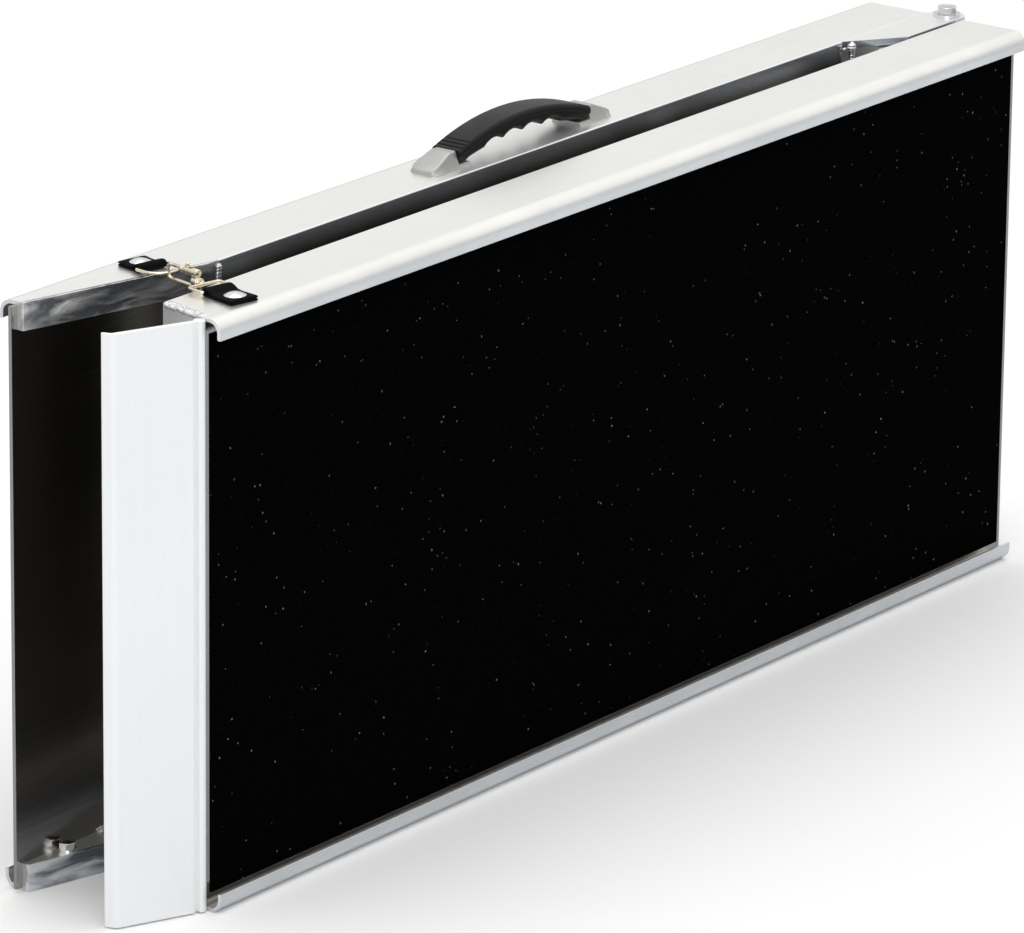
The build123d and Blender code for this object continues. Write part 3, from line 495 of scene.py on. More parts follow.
@dataclass(frozen=True)
class DrawnMetal(Finish):
    """Metal with fine lines along one direction, as an extrusion or rolled sheet has."""

    stretch: Sequence[float] = ALONG_LENGTH
    lines: float = 0.5
    # Painted shade for the faces inside the fold: dark deep inside, lighter and cooler at the edge.
    inner: tuple[Colour, Colour] | None = None
    inner_limit: float = 62 * MM
    inner_start: float = 181 * MM
    inner_depth: tuple[float, float] = (186 * MM, 200 * MM)

    def relief(self, tree: Tree, place: Socket) -> tuple[Socket, Socket]:
        """Mix the fine lines with the slow mottle."""
        drawn = tree.group("drawn_lines", place, i_Stretch=self.stretch, i_Mottle_Scale=self.mottle)
        lines = tree.product(drawn.outputs["Lines"], self.lines)
        mottle = tree.product(drawn.outputs["Mottle"], 1 - self.lines)
        return tree.math("ADD", lines, mottle), drawn.outputs["Lines"]

    def finish(self, tree: Tree, shader: Node, place: Socket) -> None:
        """Paint shade on the upright faces inside the fold, and make them smoother.

        The mask is 1 where a face looks along Y, lies nearer than inner_limit to the middle plane
        and belongs to a rail, which starts inner_start from half the width.  Its painted colour runs
        by the height from deep painted shade inside to a lighter, cooler painted shade at the ramp's
        edge.
        """
        if self.inner is None:
            return
        turned = tree.placed("VectorTransform", tree.node("NewGeometry").outputs["Normal"],
                             vector_type="NORMAL", convert_from="WORLD", convert_to="OBJECT")
        facing = tree.placed("SeparateXYZ", turned.outputs[0])
        where = tree.placed("SeparateXYZ", place)
        side = tree.math("GREATER_THAN", tree.math("ABSOLUTE", facing.outputs[1]), UPRIGHT)
        near = tree.math("LESS_THAN", tree.math("ABSOLUTE", where.outputs[1]), self.inner_limit)
        height = tree.math("ABSOLUTE", tree.math("SUBTRACT", where.outputs[2], HALF_WIDTH))
        rail = tree.math("GREATER_THAN", height, self.inner_start)
        mask = tree.product(side, near, rail)
        # Painted shade inside the fold, lightening towards the ramp's edge.
        painted_shade = tree.blend(tree.span(height, *self.inner_depth), *self.inner)
        tree.over(shader.inputs["Base Color"], mask, painted_shade)
        rough = shader.inputs["Roughness"].links[0].from_socket
        smoother = tree.span(mask, 0, 1, 1.0, 0.6)
        tree.link(tree.product(rough, smoother), shader.inputs["Roughness"])


@dataclass(frozen=True)
class Buffed(Finish):
    """Plate that was hand-buffed after welding: wavy, with light and dark streaks of painted reflection.
    """

    streak: Sequence[float] = (14.0, 40.0, 55.0)
    # Where the painted light along the plate rises towards its free end.
    painted_light_end: tuple[float, float] = (-482 * MM, -415 * MM)

    def relief(self, tree: Tree, place: Socket) -> tuple[Socket, Socket]:
        """Stretched, distorted noise makes the streaks of painted reflection, and painted light makes
        them brighter towards the free end.
        """
        scaled = tree.placed("VectorMath", place, operation="MULTIPLY", i_1=self.streak)
        noise = tree.placed("TexNoise", scaled.outputs[0], i_Scale=1.0, i_Detail=4.0,
                            i_Roughness=0.5, i_Distortion=1.4).outputs[0]
        where = tree.placed("SeparateXYZ", place)
        end = tree.span(where.outputs[0], *self.painted_light_end, 0.17, -0.05)
        return tree.span(tree.math("ADD", noise, end), 0.44, 0.66), noise


@dataclass(frozen=True)
class GritCoat(Finish):
    """Abrasive grains in a black binder: rough cells, a few of which glint."""

    grain: float = 900.0
    glint: Colour = (0.12, 0.12, 0.13)

    def grains(self, tree: Tree, place: Socket) -> tuple[Node, Node]:
        """Give the cells of a Voronoi pattern, and three random numbers for each cell."""
        cells = tree.placed("TexVoronoi", place, i_Scale=self.grain)
        return cells, tree.placed("SeparateColor", cells.outputs["Color"])

    def relief(self, tree: Tree, place: Socket) -> tuple[Socket, Socket]:
        """Each grain has its own shade, and its height falls from the middle out."""
        cells, chance = self.grains(tree, place)
        height = tree.span(cells.outputs["Distance"], 0.0, 0.8, 1.0, 0.0)
        return tree.span(chance.outputs[0], 0.0, 1.0), height

    def finish(self, tree: Tree, shader: Node, place: Socket) -> None:
        """Let about one grain in a thousand glint."""
        _, chance = self.grains(tree, place)
        bright = tree.span(chance.outputs[1], 0.998, 0.9997)
        tree.over(shader.inputs["Base Color"], bright, self.glint)


@dataclass(frozen=True)
class Webbing(Finish):
    """Plain-woven strap: raised threads both ways."""

    turn: float = 0.0
    pitch: tuple[float, float] = (1.15 * MM, 0.85 * MM)

    def relief(self, tree: Tree, place: Socket) -> tuple[Socket, Socket]:
        """The height is sin(along) * sin(across), with both directions turned to the strap."""
        turned = tree.placed("Mapping", place, i_Rotation=(0, 0, self.turn))
        parts = tree.placed("SeparateXYZ", turned.outputs[0])
        waves = [tree.math("SINE", tree.product(parts.outputs[index], 2 * math.pi / pitch))
                 for index, pitch in zip((1, 0), self.pitch)]
        weave = tree.span(tree.product(*waves), -1, 1)
        return weave, weave


@dataclass(frozen=True)
class Moulded(Finish):
    """Moulded plastic or painted casting with a fine stipple."""

    stipple: float = 2600.0
    inputs: tuple[tuple[str, float], ...] = (("Coat Roughness", 0.2),)

    def relief(self, tree: Tree, place: Socket) -> tuple[Socket, Socket]:
        """Handling marks set the colour, and fine noise the height."""
        marks = tree.group("blotches", place, i_Scale=self.mottle)
        skin = tree.placed("TexNoise", place, i_Scale=self.stipple, i_Detail=2.0)
        return marks.outputs["Amount"], skin.outputs[0]


GROUPS = {
    "drawn_lines": drawn_lines_group(),
    "edge_wear_and_highlight": edge_wear_and_highlight_group(),
    "blotches": blotch_group(),
}
CLIP_TURN = math.radians(12.0)
ALONG_WIDTH = (900.0, 900.0, 6.0)


def grey(value: float) -> Colour:
    """A grey with this much of every colour."""
    return value, value, value


FINISHES: dict[Slot, Finish] = {
    Slot.RAIL: DrawnMetal(
        "satin_rail", (0.8, 0.795, 0.775), (0.96, 0.952, 0.92), metallic=0.88, rough=(0.26, 0.42),
        edge_radius=0.25 * MM, bump=0.01 * MM, mottle=14.0, lines=0.25,
        # Painted shade on the faces inside the fold, from deep inside to the edge.
        inner=((0.17, 0.155, 0.14), (0.7, 0.74, 0.8))),
    Slot.DECK: DrawnMetal(
        "mill_sheet", (0.36, 0.345, 0.32), (0.46, 0.44, 0.41), rough=(0.12, 0.22),
        edge_colour=(0.5, 0.49, 0.47), stretch=(4.0, 700.0, 700.0)),
    # Painted reflection: streaks between a dark blue-grey and near white, lighter towards the free end.
    Slot.POLISHED: Buffed(
        "buffed_plate", (0.16, 0.17, 0.19), grey(0.95), metallic=0.75, rough=(0.12, 0.26),
        edge_colour=grey(0.97), edge_radius=1.0 * MM, bump=1.6 * MM),
    Slot.LIP: DrawnMetal(
        "satin_lip", (0.93, 0.932, 0.932), (0.975, 0.975, 0.972), metallic=0.45, rough=(0.38, 0.46),
        bump=0.002 * MM, stretch=ALONG_WIDTH, lines=0.6),
    Slot.WELD: Finish(
        "weld_bead", grey(0.55), grey(0.88), rough=(0.16, 0.34), bump=0.12 * MM, mottle=420.0),
    Slot.GRIT: GritCoat(
        "black_grit", (0.0003, 0.0003, 0.0004), (0.0013, 0.0013, 0.0015), metallic=0.0,
        rough=(0.85, 0.98), edge_colour=grey(0.003), bump=0.25 * MM,
        inputs=(("Specular IOR Level", 0.008),)),
    Slot.GRIP: Moulded(
        "black_grip", (0.003, 0.003, 0.0032), (0.006, 0.006, 0.0062), metallic=0.0, rough=(0.36, 0.48),
        edge_colour=(0.012, 0.012, 0.013), bump=0.03 * MM,
        inputs=(("Specular IOR Level", 0.22), ("Coat Roughness", 0.2))),
    Slot.CAP: Moulded(
        "silver_cap", (0.38, 0.38, 0.365), (0.48, 0.48, 0.46), metallic=0.55, rough=(0.28, 0.4),
        edge_colour=(0.6, 0.6, 0.58), bump=0.01 * MM,
        inputs=(("Coat Weight", 0.15), ("Coat Roughness", 0.2))),
    Slot.WEBBING: Webbing(
        "black_webbing", grey(0.0012), grey(0.005), metallic=0.0, rough=(0.85, 0.95),
        edge_colour=grey(0.006), bump=0.25 * MM, turn=CLIP_TURN,
        inputs=(("Sheen Weight", 0.02), ("Sheen Roughness", 0.5), ("Specular IOR Level", 0.05))),
    Slot.SNAP: Finish(
        "champagne_nickel", (0.72, 0.62, 0.46), (0.86, 0.77, 0.62), rough=(0.12, 0.24),
        edge_colour=(0.93, 0.88, 0.78), edge_radius=0.3 * MM, mottle=300.0),
    Slot.ZINC: Finish(
        "bright_zinc", (0.66, 0.66, 0.68), (0.82, 0.82, 0.83), rough=(0.16, 0.3), edge_radius=0.3 * MM,
        bump=0.015 * MM, mottle=260.0),
    Slot.NYLON: Moulded(
        "natural_nylon", (0.7, 0.7, 0.66), (0.8, 0.8, 0.76), metallic=0.0, rough=(0.4, 0.5)),
}


# Sub-assemblies ------------------------------------------------------------------------------
def corners(node: str) -> Array:
    """Lowest and highest corner of a node's box, shape (2, 3)."""
    return np.array(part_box(node))


def centre_of(node: str) -> Array:
    """Middle of a node's box."""
    return corners(node).mean(0)


@dataclass
class SubAssembly:
    """A group of pieces that is built and dressed together.

    Attributes:
        materials: Finished materials by slot.
    """

    materials: dict[Slot, Material]

    def piece(self, name: str, surfaces: Sequence[Surface], body: Body, slot: Slot, replaces: str,
              crease: float = 32.0) -> None:
        """Make one object of closed surfaces and tie it to the frame.

        Args:
            name: The piece's name.
            surfaces: The closed surfaces that it is made of.
            body: The body that it rides on.
            slot: The record's slot that its finish belongs to.
            replaces: The frame's node that it stands for.
            crease: Edges sharper than this many degrees stay sharp.
        """
        vertices, faces, count = [], [], 0
        for surface in surfaces:
            some, more = surface.arrays()
            vertices.append(some)
            faces += [[index + count for index in face] for face in more]
            count += len(some)
        mesh = bpy.data.meshes.new(name)
        mesh.from_pydata(np.vstack(vertices).tolist(), [], faces)
        work = bmesh.new()
        work.from_mesh(mesh)
        bmesh.ops.remove_doubles(work, verts=work.verts, dist=JOIN)
        bmesh.ops.recalc_face_normals(work, faces=work.faces)
        work.to_mesh(mesh)
        work.free()
        mesh.polygons.foreach_set("use_smooth", np.ones(len(mesh.polygons), bool))
        mesh.set_sharp_from_angle(angle=math.radians(crease))
        mesh.materials.append(self.materials[slot])
        piece = add_object(name, mesh)
        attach(piece, body.value)
        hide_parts(replaces)
        LOG.info("%s: %d faces on %s", name, len(mesh.polygons), body.value)

    def build(self) -> None:
        """Build every piece of the sub-assembly."""
        raise NotImplementedError


@dataclass
class Handle(SubAssembly):
    """The carrying handle on the rear rail: a ribbed grip between two silver caps."""

    grip_half: float = 74 * MM
    grip_width: float = 23.5 * MM
    rise: float = 25 * MM
    end_top: float = 12.5 * MM
    foot: float = 3 * MM
    gap_half: float = 62 * MM
    gap_rise: float = 11.5 * MM
    gap_foot: float = 5 * MM
    finger_pitch: float = 22 * MM
    finger_depth: float = 3.2 * MM
    finger_drop: float = 0.6 * MM
    half: float = 101 * MM
    base_end: float = 62 * MM
    cap_half: float = 12.5 * MM
    nose: float = 7 * MM
    nose_drop: float = 0.45
    corner: float = 1.6 * MM
    cap_tip: float = 4 * MM
    cap_crown: float = 12.2 * MM
    shoulder: float = 6 * MM
    grip_gap: float = 0.4 * MM
    draft: float = 0.32
    groove: float = 0.75 * MM
    groove_depth: float = 1.0 * MM
    groove_places: tuple[float, ...] = (3.5 * MM, 7.5 * MM, 11.5 * MM)

    def both_sides(self, x: Array, y: Array, z: Array) -> Surface:
        """Mirror half a section (y, z) at each x, and stand the whole on the rail."""
        one = np.stack([np.broadcast_to(x[:, None], y.shape), y, z], -1)
        base = centre_of("handle_core") * (1, 1, 0) + corners("rear_rail_top")[1] * UP
        return Surface(np.concatenate([one, one[:, ::-1] * (1, -1, 1)], 1) + base)

    def top(self, x: Array) -> Array:
        """The grip's top: an arc from end_top through rise, less the cross grooves near each end."""
        grooves = sum(np.exp(-(((np.abs(x) - (self.grip_half - step)) / self.groove) ** 4))
                      for step in self.groove_places)
        return arch(x, self.grip_half, self.end_top, self.rise) - self.groove_depth * grooves

    def bottom(self, x: Array) -> Array:
        """The lower side: level feet, then an arc with four finger hollows of |sine| ** 0.75."""
        inside = np.minimum(np.abs(x), self.gap_half)
        arc = arch(inside, self.gap_half, self.gap_foot, self.gap_rise)
        reach = 2 * self.finger_pitch
        wave = np.abs(np.sin(math.pi * x / self.finger_pitch)) ** 0.75
        hollow = wave * self.finger_depth * (np.abs(x) < reach) - self.finger_drop
        foot = smoothstep(np.abs(x), self.gap_half - 1 * MM, self.gap_half + 3 * MM)
        return (arc + hollow) * (1 - foot) + self.foot * foot

    def grip(self) -> Surface:
        """Carry a rounded section along the grip, with a rim that stands out under its top."""
        x = np.linspace(-self.grip_half, self.grip_half, 420)
        half = self.grip_width / 2
        quarter = np.radians(np.linspace(0, 90, 7))
        upper, lower = 2.6 * MM, 3.3 * MM
        rim, inset = 4.6 * MM, 0.8 * MM
        side = [(half - upper + upper * np.sin(a), -(upper - upper * np.cos(a)), 1.0) for a in quarter]
        side += [(half, -rim, 1.0), (half - 0.3 * inset, -rim - 0.5 * MM, 1.0),
                 (half - inset, -rim - 0.6 * MM, 1.0)]
        inner = half - inset - 0.3 * MM
        side += [(inner, lower + 0.5 * MM, 0.0)]
        side += [(inner - lower + lower * np.cos(a), lower - lower * np.sin(a), 0.0) for a in quarter]
        y, offset, from_top = np.array(side).T
        z = np.where(from_top > 0, self.top(x)[:, None], self.bottom(x)[:, None]) + offset
        return self.both_sides(x, np.broadcast_to(y, z.shape), z)

    def cap(self, end: int) -> Surface:
        """A cast cap: its height runs level, then down to a round nose, and its sides lean inward.

        Args:
            end: -1 for the left cap, 1 for the right.

        Returns:
            The surface.
        """
        wall = self.grip_half + self.grip_gap
        shoulder = wall + self.shoulder
        nose = self.nose
        x = np.concatenate([
            np.linspace(self.base_end, wall, 14), [wall + 0.01 * MM, wall + 0.3 * MM],
            np.linspace(wall + 0.8 * MM, shoulder, 6)[:-1],
            np.linspace(shoulder, self.half - nose, 22)[:-1],
            self.half - nose + nose * np.sin(np.linspace(0, math.pi / 2, 14))])
        slope = (self.cap_crown - self.cap_tip) / (self.half - shoulder)
        height = self.cap_crown - slope * np.maximum(x - shoulder, 0)
        height = np.where(x <= wall, self.foot - 0.05 * MM, height)
        into = np.clip((x - (self.half - nose)) / nose, 0, 1)
        round_off = np.sqrt(np.maximum(1 - into**2, 0.0))
        height = height * (1 - self.nose_drop + self.nose_drop * round_off)
        base_half = self.cap_half - nose * (1 - round_off) * 0.85
        top_half = base_half - self.draft * height
        corner = np.minimum(self.corner, height * 0.4)
        turn = np.radians(np.linspace(0, 90, 6))
        y = [np.zeros_like(x)] + [top_half - corner + corner * np.sin(a) for a in turn]
        z = [height] + [height - corner + corner * np.cos(a) for a in turn]
        y += [base_half - self.draft * 0.6 * MM, base_half, base_half]
        z += [np.full_like(x, 0.6 * MM), np.full_like(x, 0.5 * MM), np.zeros_like(x)]
        return self.both_sides(end * x, np.stack(y, -1), np.stack(z, -1))

    def build(self) -> None:
        """Build the grip and both caps."""
        self.piece("grip", [self.grip()], Body.REAR, Slot.GRIP, "handle_grip", 28)
        for side, end in (("left", -1), ("right", 1)):
            self.piece("cap_" + side, [self.cap(end)], Body.REAR, Slot.CAP, "handle_cap_" + side, 40)


@dataclass
class Clip(SubAssembly):
    """The strap clip: two folded straps, a swivel loop, a bolt snap and the ring that it holds.

    Distances run from the front rivet towards the rear one, and heights stand over the rail.
    """

    layer: float = 1.6 * MM
    drape: float = 8.5 * MM
    slack: float = 0.55 * MM
    slack_reach: float = 14 * MM
    strap_half: float = 11 * MM
    tail: float = 9.5 * MM
    front_fold: float = 18 * MM
    rear_reach: float = 11 * MM
    wire: float = 1.1 * MM
    bar_height: float = 2.9 * MM
    wire_half: float = 12.7 * MM
    wire_corner: float = 1.6 * MM
    loop_length: float = 14 * MM
    loop_corner: float = 3 * MM
    barrel_start: float = 34.6 * MM
    barrel_length: float = 7.5 * MM
    barrel: float = 3.2 * MM
    pocket: float = 36.8 * MM
    housing: tuple[float, float] = (36.6 * MM, 53.5 * MM)
    housing_half: float = 2.6 * MM
    post: float = 6 * MM
    tip: float = 62.5 * MM
    jaw_middle: float = 64 * MM
    jaw_height: float = 4.1 * MM
    jaw_radius: float = 4.75 * MM
    jaw_bar: float = 1.25 * MM
    bolt: float = 1.25 * MM
    bolt_tail: float = 1.8 * MM
    stub_distance: float = 48 * MM
    stub_height: float = 5.2 * MM
    stub_slot: tuple[float, float] = (42 * MM, 49.5 * MM)
    slot_half: float = 1.5 * MM
    ring_middle: float = 64.6 * MM
    ring_lift: float = 0.5 * MM
    rivet: float = 7.4 * MM
    rivet_rise: float = 2.4 * MM

    def __post_init__(self) -> None:
        """Read the clip's line from the two rivets."""
        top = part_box("front_rail_top")[1].z
        front, rear = centre_of("front_strap_rivet"), centre_of("rear_strap_rivet")
        self.origin = front * (1, 1, 0) + top * UP
        line = (rear - front) * (1, 1, 0)
        self.span = float(np.linalg.norm(line))
        self.along = line / self.span
        self.across = np.cross(self.along, UP)

    def at(self, distance: Array | float, height: Array | float = 0.0,
           across: Array | float = 0.0) -> Array:
        """Places on the clip's line, in the frame."""
        parts = np.broadcast_arrays(distance, height, across)
        axes = (self.along, UP, self.across)
        return self.origin + sum(part[..., None] * axis for part, axis in zip(parts, axes))

    def strap(self, fold: float, tail: float, rivet: float) -> Surface:
        """A strap that lies flat, goes round the wire and comes back over itself.

        The middle line is two level runs, a half circle round the wire, and a smooth step down
        from the circle's top to the upper run, which has a slack sine wave in it that fades
        towards the rivet.  The section is a flat rounded rectangle.

        Args:
            fold: Distance of the wire.
            tail: Distance of the strap's ends.
            rivet: Distance of the rivet, which pulls the upper run down.

        Returns:
            The surface.
        """
        sign = 1.0 if fold > tail else -1.0
        reach = self.bar_height - self.layer / 2
        lower = np.stack([np.linspace(tail, fold, 40), np.full(40, self.layer / 2)], -1)
        turn = arc_points((0, 0), reach, -90, 90, 24) * (sign, 1) + (fold, self.bar_height)
        back = np.linspace(fold, tail, 60)
        gone = np.abs(back - fold)
        upper = self.layer * 1.5
        height = upper + (self.bar_height + reach - upper) * (1 - smoothstep(gone, 0, self.drape))
        loose = np.clip(np.abs(back - rivet) / self.slack_reach, 0, 1)
        height = height + self.slack * np.sin(np.clip(gone / abs(fold - tail), 0, 1) * 9.0) * loose
        line = np.vstack([lower[:-1], turn[:-1], np.stack([back, height], -1)])
        line = resample(line, 130)
        section = superellipse(36, self.layer * 0.49, self.strap_half, 0.35)
        return carry(self.at(*line.T), section, self.across)

    def rivets(self, distance: float) -> Surface:
        """A domed head, its shank through the rail's wall, and a flat tail."""
        rise, radius = self.rivet_rise, self.rivet
        dome = (radius**2 + rise**2) / (2 * rise)
        out = np.linspace(0, 1, 14) * (radius - 0.25 * MM)
        head = [(r, rise - dome + math.sqrt(dome**2 - r**2)) for r in out[1:]]
        profile = [(0.05 * MM, rise), *head, (radius, 0.2 * MM), (radius - 0.1 * MM, 0.0), (2 * MM, 0.0),
                   (2 * MM, -5.7 * MM), (4 * MM, -5.7 * MM), (4 * MM, -7.0 * MM), (3.8 * MM, -7.1 * MM)]
        return spun(profile, self.at(distance, 2 * self.layer), UP, 56)

    def wire_path(self, turns: Sequence[Sequence[float]], count: int) -> Array:
        """A closed level path through rounded corners, given as (distance, across, radius)."""
        runs = []
        for index, (distance, across, radius) in enumerate(turns):
            here = np.array([distance, across])
            before = np.array(turns[index - 1][:2]) - here
            after = np.array(turns[(index + 1) % len(turns)][:2]) - here
            start = here + before / np.linalg.norm(before) * radius
            stop = here + after / np.linalg.norm(after) * radius
            share = np.linspace(0, 1, 12)[:, None]
            runs.append((1 - share) ** 2 * start + 2 * share * (1 - share) * here + share**2 * stop)
        flat = resample(np.vstack(runs), count, ring=True)
        return self.at(flat[:, 0], self.bar_height, flat[:, 1])

    def loop(self) -> list[Surface]:
        """The swivel loop: a rounded wire frame, and the headed stem that turns in the barrel."""
        near, far = self.front_fold, self.front_fold + self.loop_length
        turns = [(near, -self.wire_half, self.wire_corner), (far, -self.wire_half, self.loop_corner),
                 (far, self.wire_half, self.loop_corner), (near, self.wire_half, self.wire_corner)]
        frame_wire = carry(self.wire_path(turns, 140), circle(18, self.wire), UP, ring=True)
        pocket = self.pocket - far
        stem = [(1.3 * MM, 0.4 * MM), (1.9 * MM, 0.9 * MM), (1.3 * MM, 1.5 * MM),
                (1.3 * MM, pocket + 0.1 * MM), (2.1 * MM, pocket + 0.1 * MM),
                (2.1 * MM, pocket + 1.8 * MM), (1.7 * MM, pocket + 2.1 * MM)]
        return [frame_wire, spun(stem, self.at(far, self.bar_height), self.along, 32)]

    def bolt_housing(self, height: float, bore: float) -> Surface:
        """The bolt's round housing: a ringed tube with an open mouth and a slot for the stub.

        Each row is a circle of its own radius; in the slot, the top of the circle is cut down to
        just over the bolt.

        Args:
            height: Height of the bolt's axis.
            bore: Radius of its bore.

        Returns:
            The surface.
        """
        h, (start, stop) = self.housing_half, self.housing
        near, far = self.stub_slot
        flat_top = 0.9 * MM
        rows = [(start, h - 0.8 * MM), (start + 0.3 * MM, h - 0.25 * MM), (start + 0.9 * MM, h)]
        rows += [(near - 0.01 * MM, h), (near, h)]
        rows += [(place, h) for place in np.linspace(near + 0.5 * MM, far - 0.5 * MM, 12)]
        rows += [(far, h), (far + 0.01 * MM, h), (stop - 2.4 * MM, h), (stop - 2.1 * MM, h - 0.35 * MM)]
        rows += [(stop - 1.7 * MM, h - 0.35 * MM), (stop - 1.4 * MM, h), (stop - 0.4 * MM, h)]
        rows += [(stop, h - 0.4 * MM), (stop, bore), (stop - 1.5 * MM, bore)]
        place, radius = np.array(rows).T
        section = circle(96)[None] * radius[:, None, None]
        across, up = section[..., 0], section[..., 1]
        slotted = (place >= near) & (place <= far)
        cut = slotted[:, None] & (np.abs(across) < self.slot_half) & (up > 0)
        up = np.where(cut, flat_top, up)
        return Surface(self.at(place[:, None], height + up, across))

    def hook(self) -> list[Surface]:
        """The hook: a ringed barrel, a post, the bolt's housing, and a round jaw on a spine."""
        length, r, lip = self.barrel_length, self.barrel, 0.35 * MM
        groove = r - 0.55 * MM
        outer = [(r - lip, 0), (r, lip), (r, 1.1 * MM), (groove, 1.5 * MM), (groove, 1.9 * MM),
                 (r, 2.3 * MM), (r, length - 0.8 * MM), (r - 0.8 * MM, length)]
        pocket = self.pocket - self.barrel_start
        inner = [(0.1 * MM, pocket + 2.3 * MM), (2.2 * MM, pocket + 2.2 * MM), (2.2 * MM, pocket),
                 (1.4 * MM, pocket), (1.4 * MM, 0)]
        start = self.at(self.barrel_start, self.bar_height)
        barrel = spun(outer[::-1] + inner[::-1], start, self.along, 40)
        bolt_height = self.jaw_height + self.jaw_radius
        bore = self.bolt + 0.06 * MM
        housing = self.bolt_housing(bolt_height, bore)
        heights = np.linspace(self.jaw_height - self.jaw_radius, bolt_height - bore - 0.5 * MM, 14)
        waist = 1 - 0.22 * np.sin(np.linspace(0, math.pi, 14))
        middle = self.housing[0] + self.post / 2
        section = superellipse(32, 1.0, 1.0, 0.6)[None] * np.stack(
            [waist * self.post / 2, waist * self.housing_half * 0.92], -1)[:, None]
        post = Surface(self.at(middle + section[..., 0], heights[:, None], section[..., 1]))
        spine = [(place, self.jaw_height - self.jaw_radius)
                 for place in np.linspace(middle, self.jaw_middle, 30)[:-1]]
        bow = arc_points((self.jaw_middle, self.jaw_height), self.jaw_radius, -90, 90, 40)
        tip = [(self.tip + 0.4 * MM, bolt_height), (self.tip, bolt_height)]
        path = self.at(*resample(np.vstack([spine, bow, tip]), 90).T)
        share = np.linspace(0, 1, 90)
        thick = self.jaw_bar * (0.98 - 0.1 * smoothstep(share, 0.8, 1.0))
        ends = np.sqrt(np.clip(1 - ((share - 0.985) / 0.015).clip(0) ** 2, 0.05, 1))
        jaw = round_bar(path, thick * ends, self.across, 20)
        return [barrel, housing, post, jaw]

    def snap_bolt(self) -> list[Surface]:
        """The sliding bolt with a round tip, and its thumb stub with a collar and a ball end."""
        bolt_height = self.jaw_height + self.jaw_radius
        start = self.stub_distance - self.bolt_tail
        length = self.tip - 0.15 * MM - start
        r = self.bolt
        rod = [(0.1 * MM, 0), (r - 0.2 * MM, 0), (r, 0.2 * MM), (r, length - 0.6 * MM),
               (r - 0.25 * MM, length - 0.2 * MM), (r - 0.6 * MM, length), (0.1 * MM, length)]
        s = 1.3 * MM
        top = self.stub_height
        ball = [(s * math.cos(a), top - s + s * math.sin(a)) for a in np.radians(np.linspace(-20, 86, 9))]
        stub = [(s * 0.8, 0), (s * 0.8, 1.6 * MM), (s, 1.8 * MM), (s, 2.4 * MM), (s * 0.8, 2.6 * MM),
                (s * 0.8, top - 2 * s), *ball]
        return [spun(rod, self.at(start, bolt_height), self.along, 28),
                spun(stub, self.at(self.stub_distance, bolt_height), UP, 28)]

    def keeper(self) -> Surface:
        """The ring: a straight bar in the rear strap's fold, two sides and a round bow."""
        bar = self.span - self.rear_reach
        rise = self.ring_lift / (bar - self.ring_middle)
        side = self.ring_middle + self.wire_half
        bow = arc_points((side, 0), self.wire_half, 90, 270, 60)
        c = self.wire_corner
        corner = arc_points((bar - c, c - self.wire_half), c, 270, 360, 10)
        other = corner[::-1] * (1, -1)
        flat = resample(np.vstack([bow, corner, other]), 150, ring=True)
        path = self.at(flat[:, 0], self.bar_height + (bar - flat[:, 0]) * rise, flat[:, 1])
        tilt = math.atan(rise)
        normal = UP * math.cos(tilt) + self.along * math.sin(tilt)
        return carry(path, circle(18, self.wire), normal, ring=True)

    def build(self) -> None:
        """Build the whole clip."""
        span = self.span
        front = self.strap(self.front_fold, -self.tail, 0)
        rear = self.strap(span - self.rear_reach, span + self.tail, span)
        self.piece("strap_front", [front], Body.FRONT, Slot.WEBBING, "front_strap")
        self.piece("strap_rear", [rear], Body.REAR, Slot.WEBBING, "rear_strap")
        self.piece("rivet_front", [self.rivets(0)], Body.FRONT, Slot.ZINC, "front_strap_rivet")
        self.piece("rivet_rear", [self.rivets(span)], Body.REAR, Slot.ZINC, "rear_strap_rivet")
        self.piece("swivel_loop", self.loop(), Body.LOOP, Slot.SNAP, "snap_swivel_loop")
        self.piece("hook", self.hook(), Body.HOOK, Slot.SNAP, "snap_hook_body")
        self.piece("bolt_and_stub", self.snap_bolt(), Body.TRIGGER, Slot.SNAP, "snap_bolt")
        self.piece("ring", [self.keeper()], Body.KEEPER, Slot.SNAP, "keeper_ring")


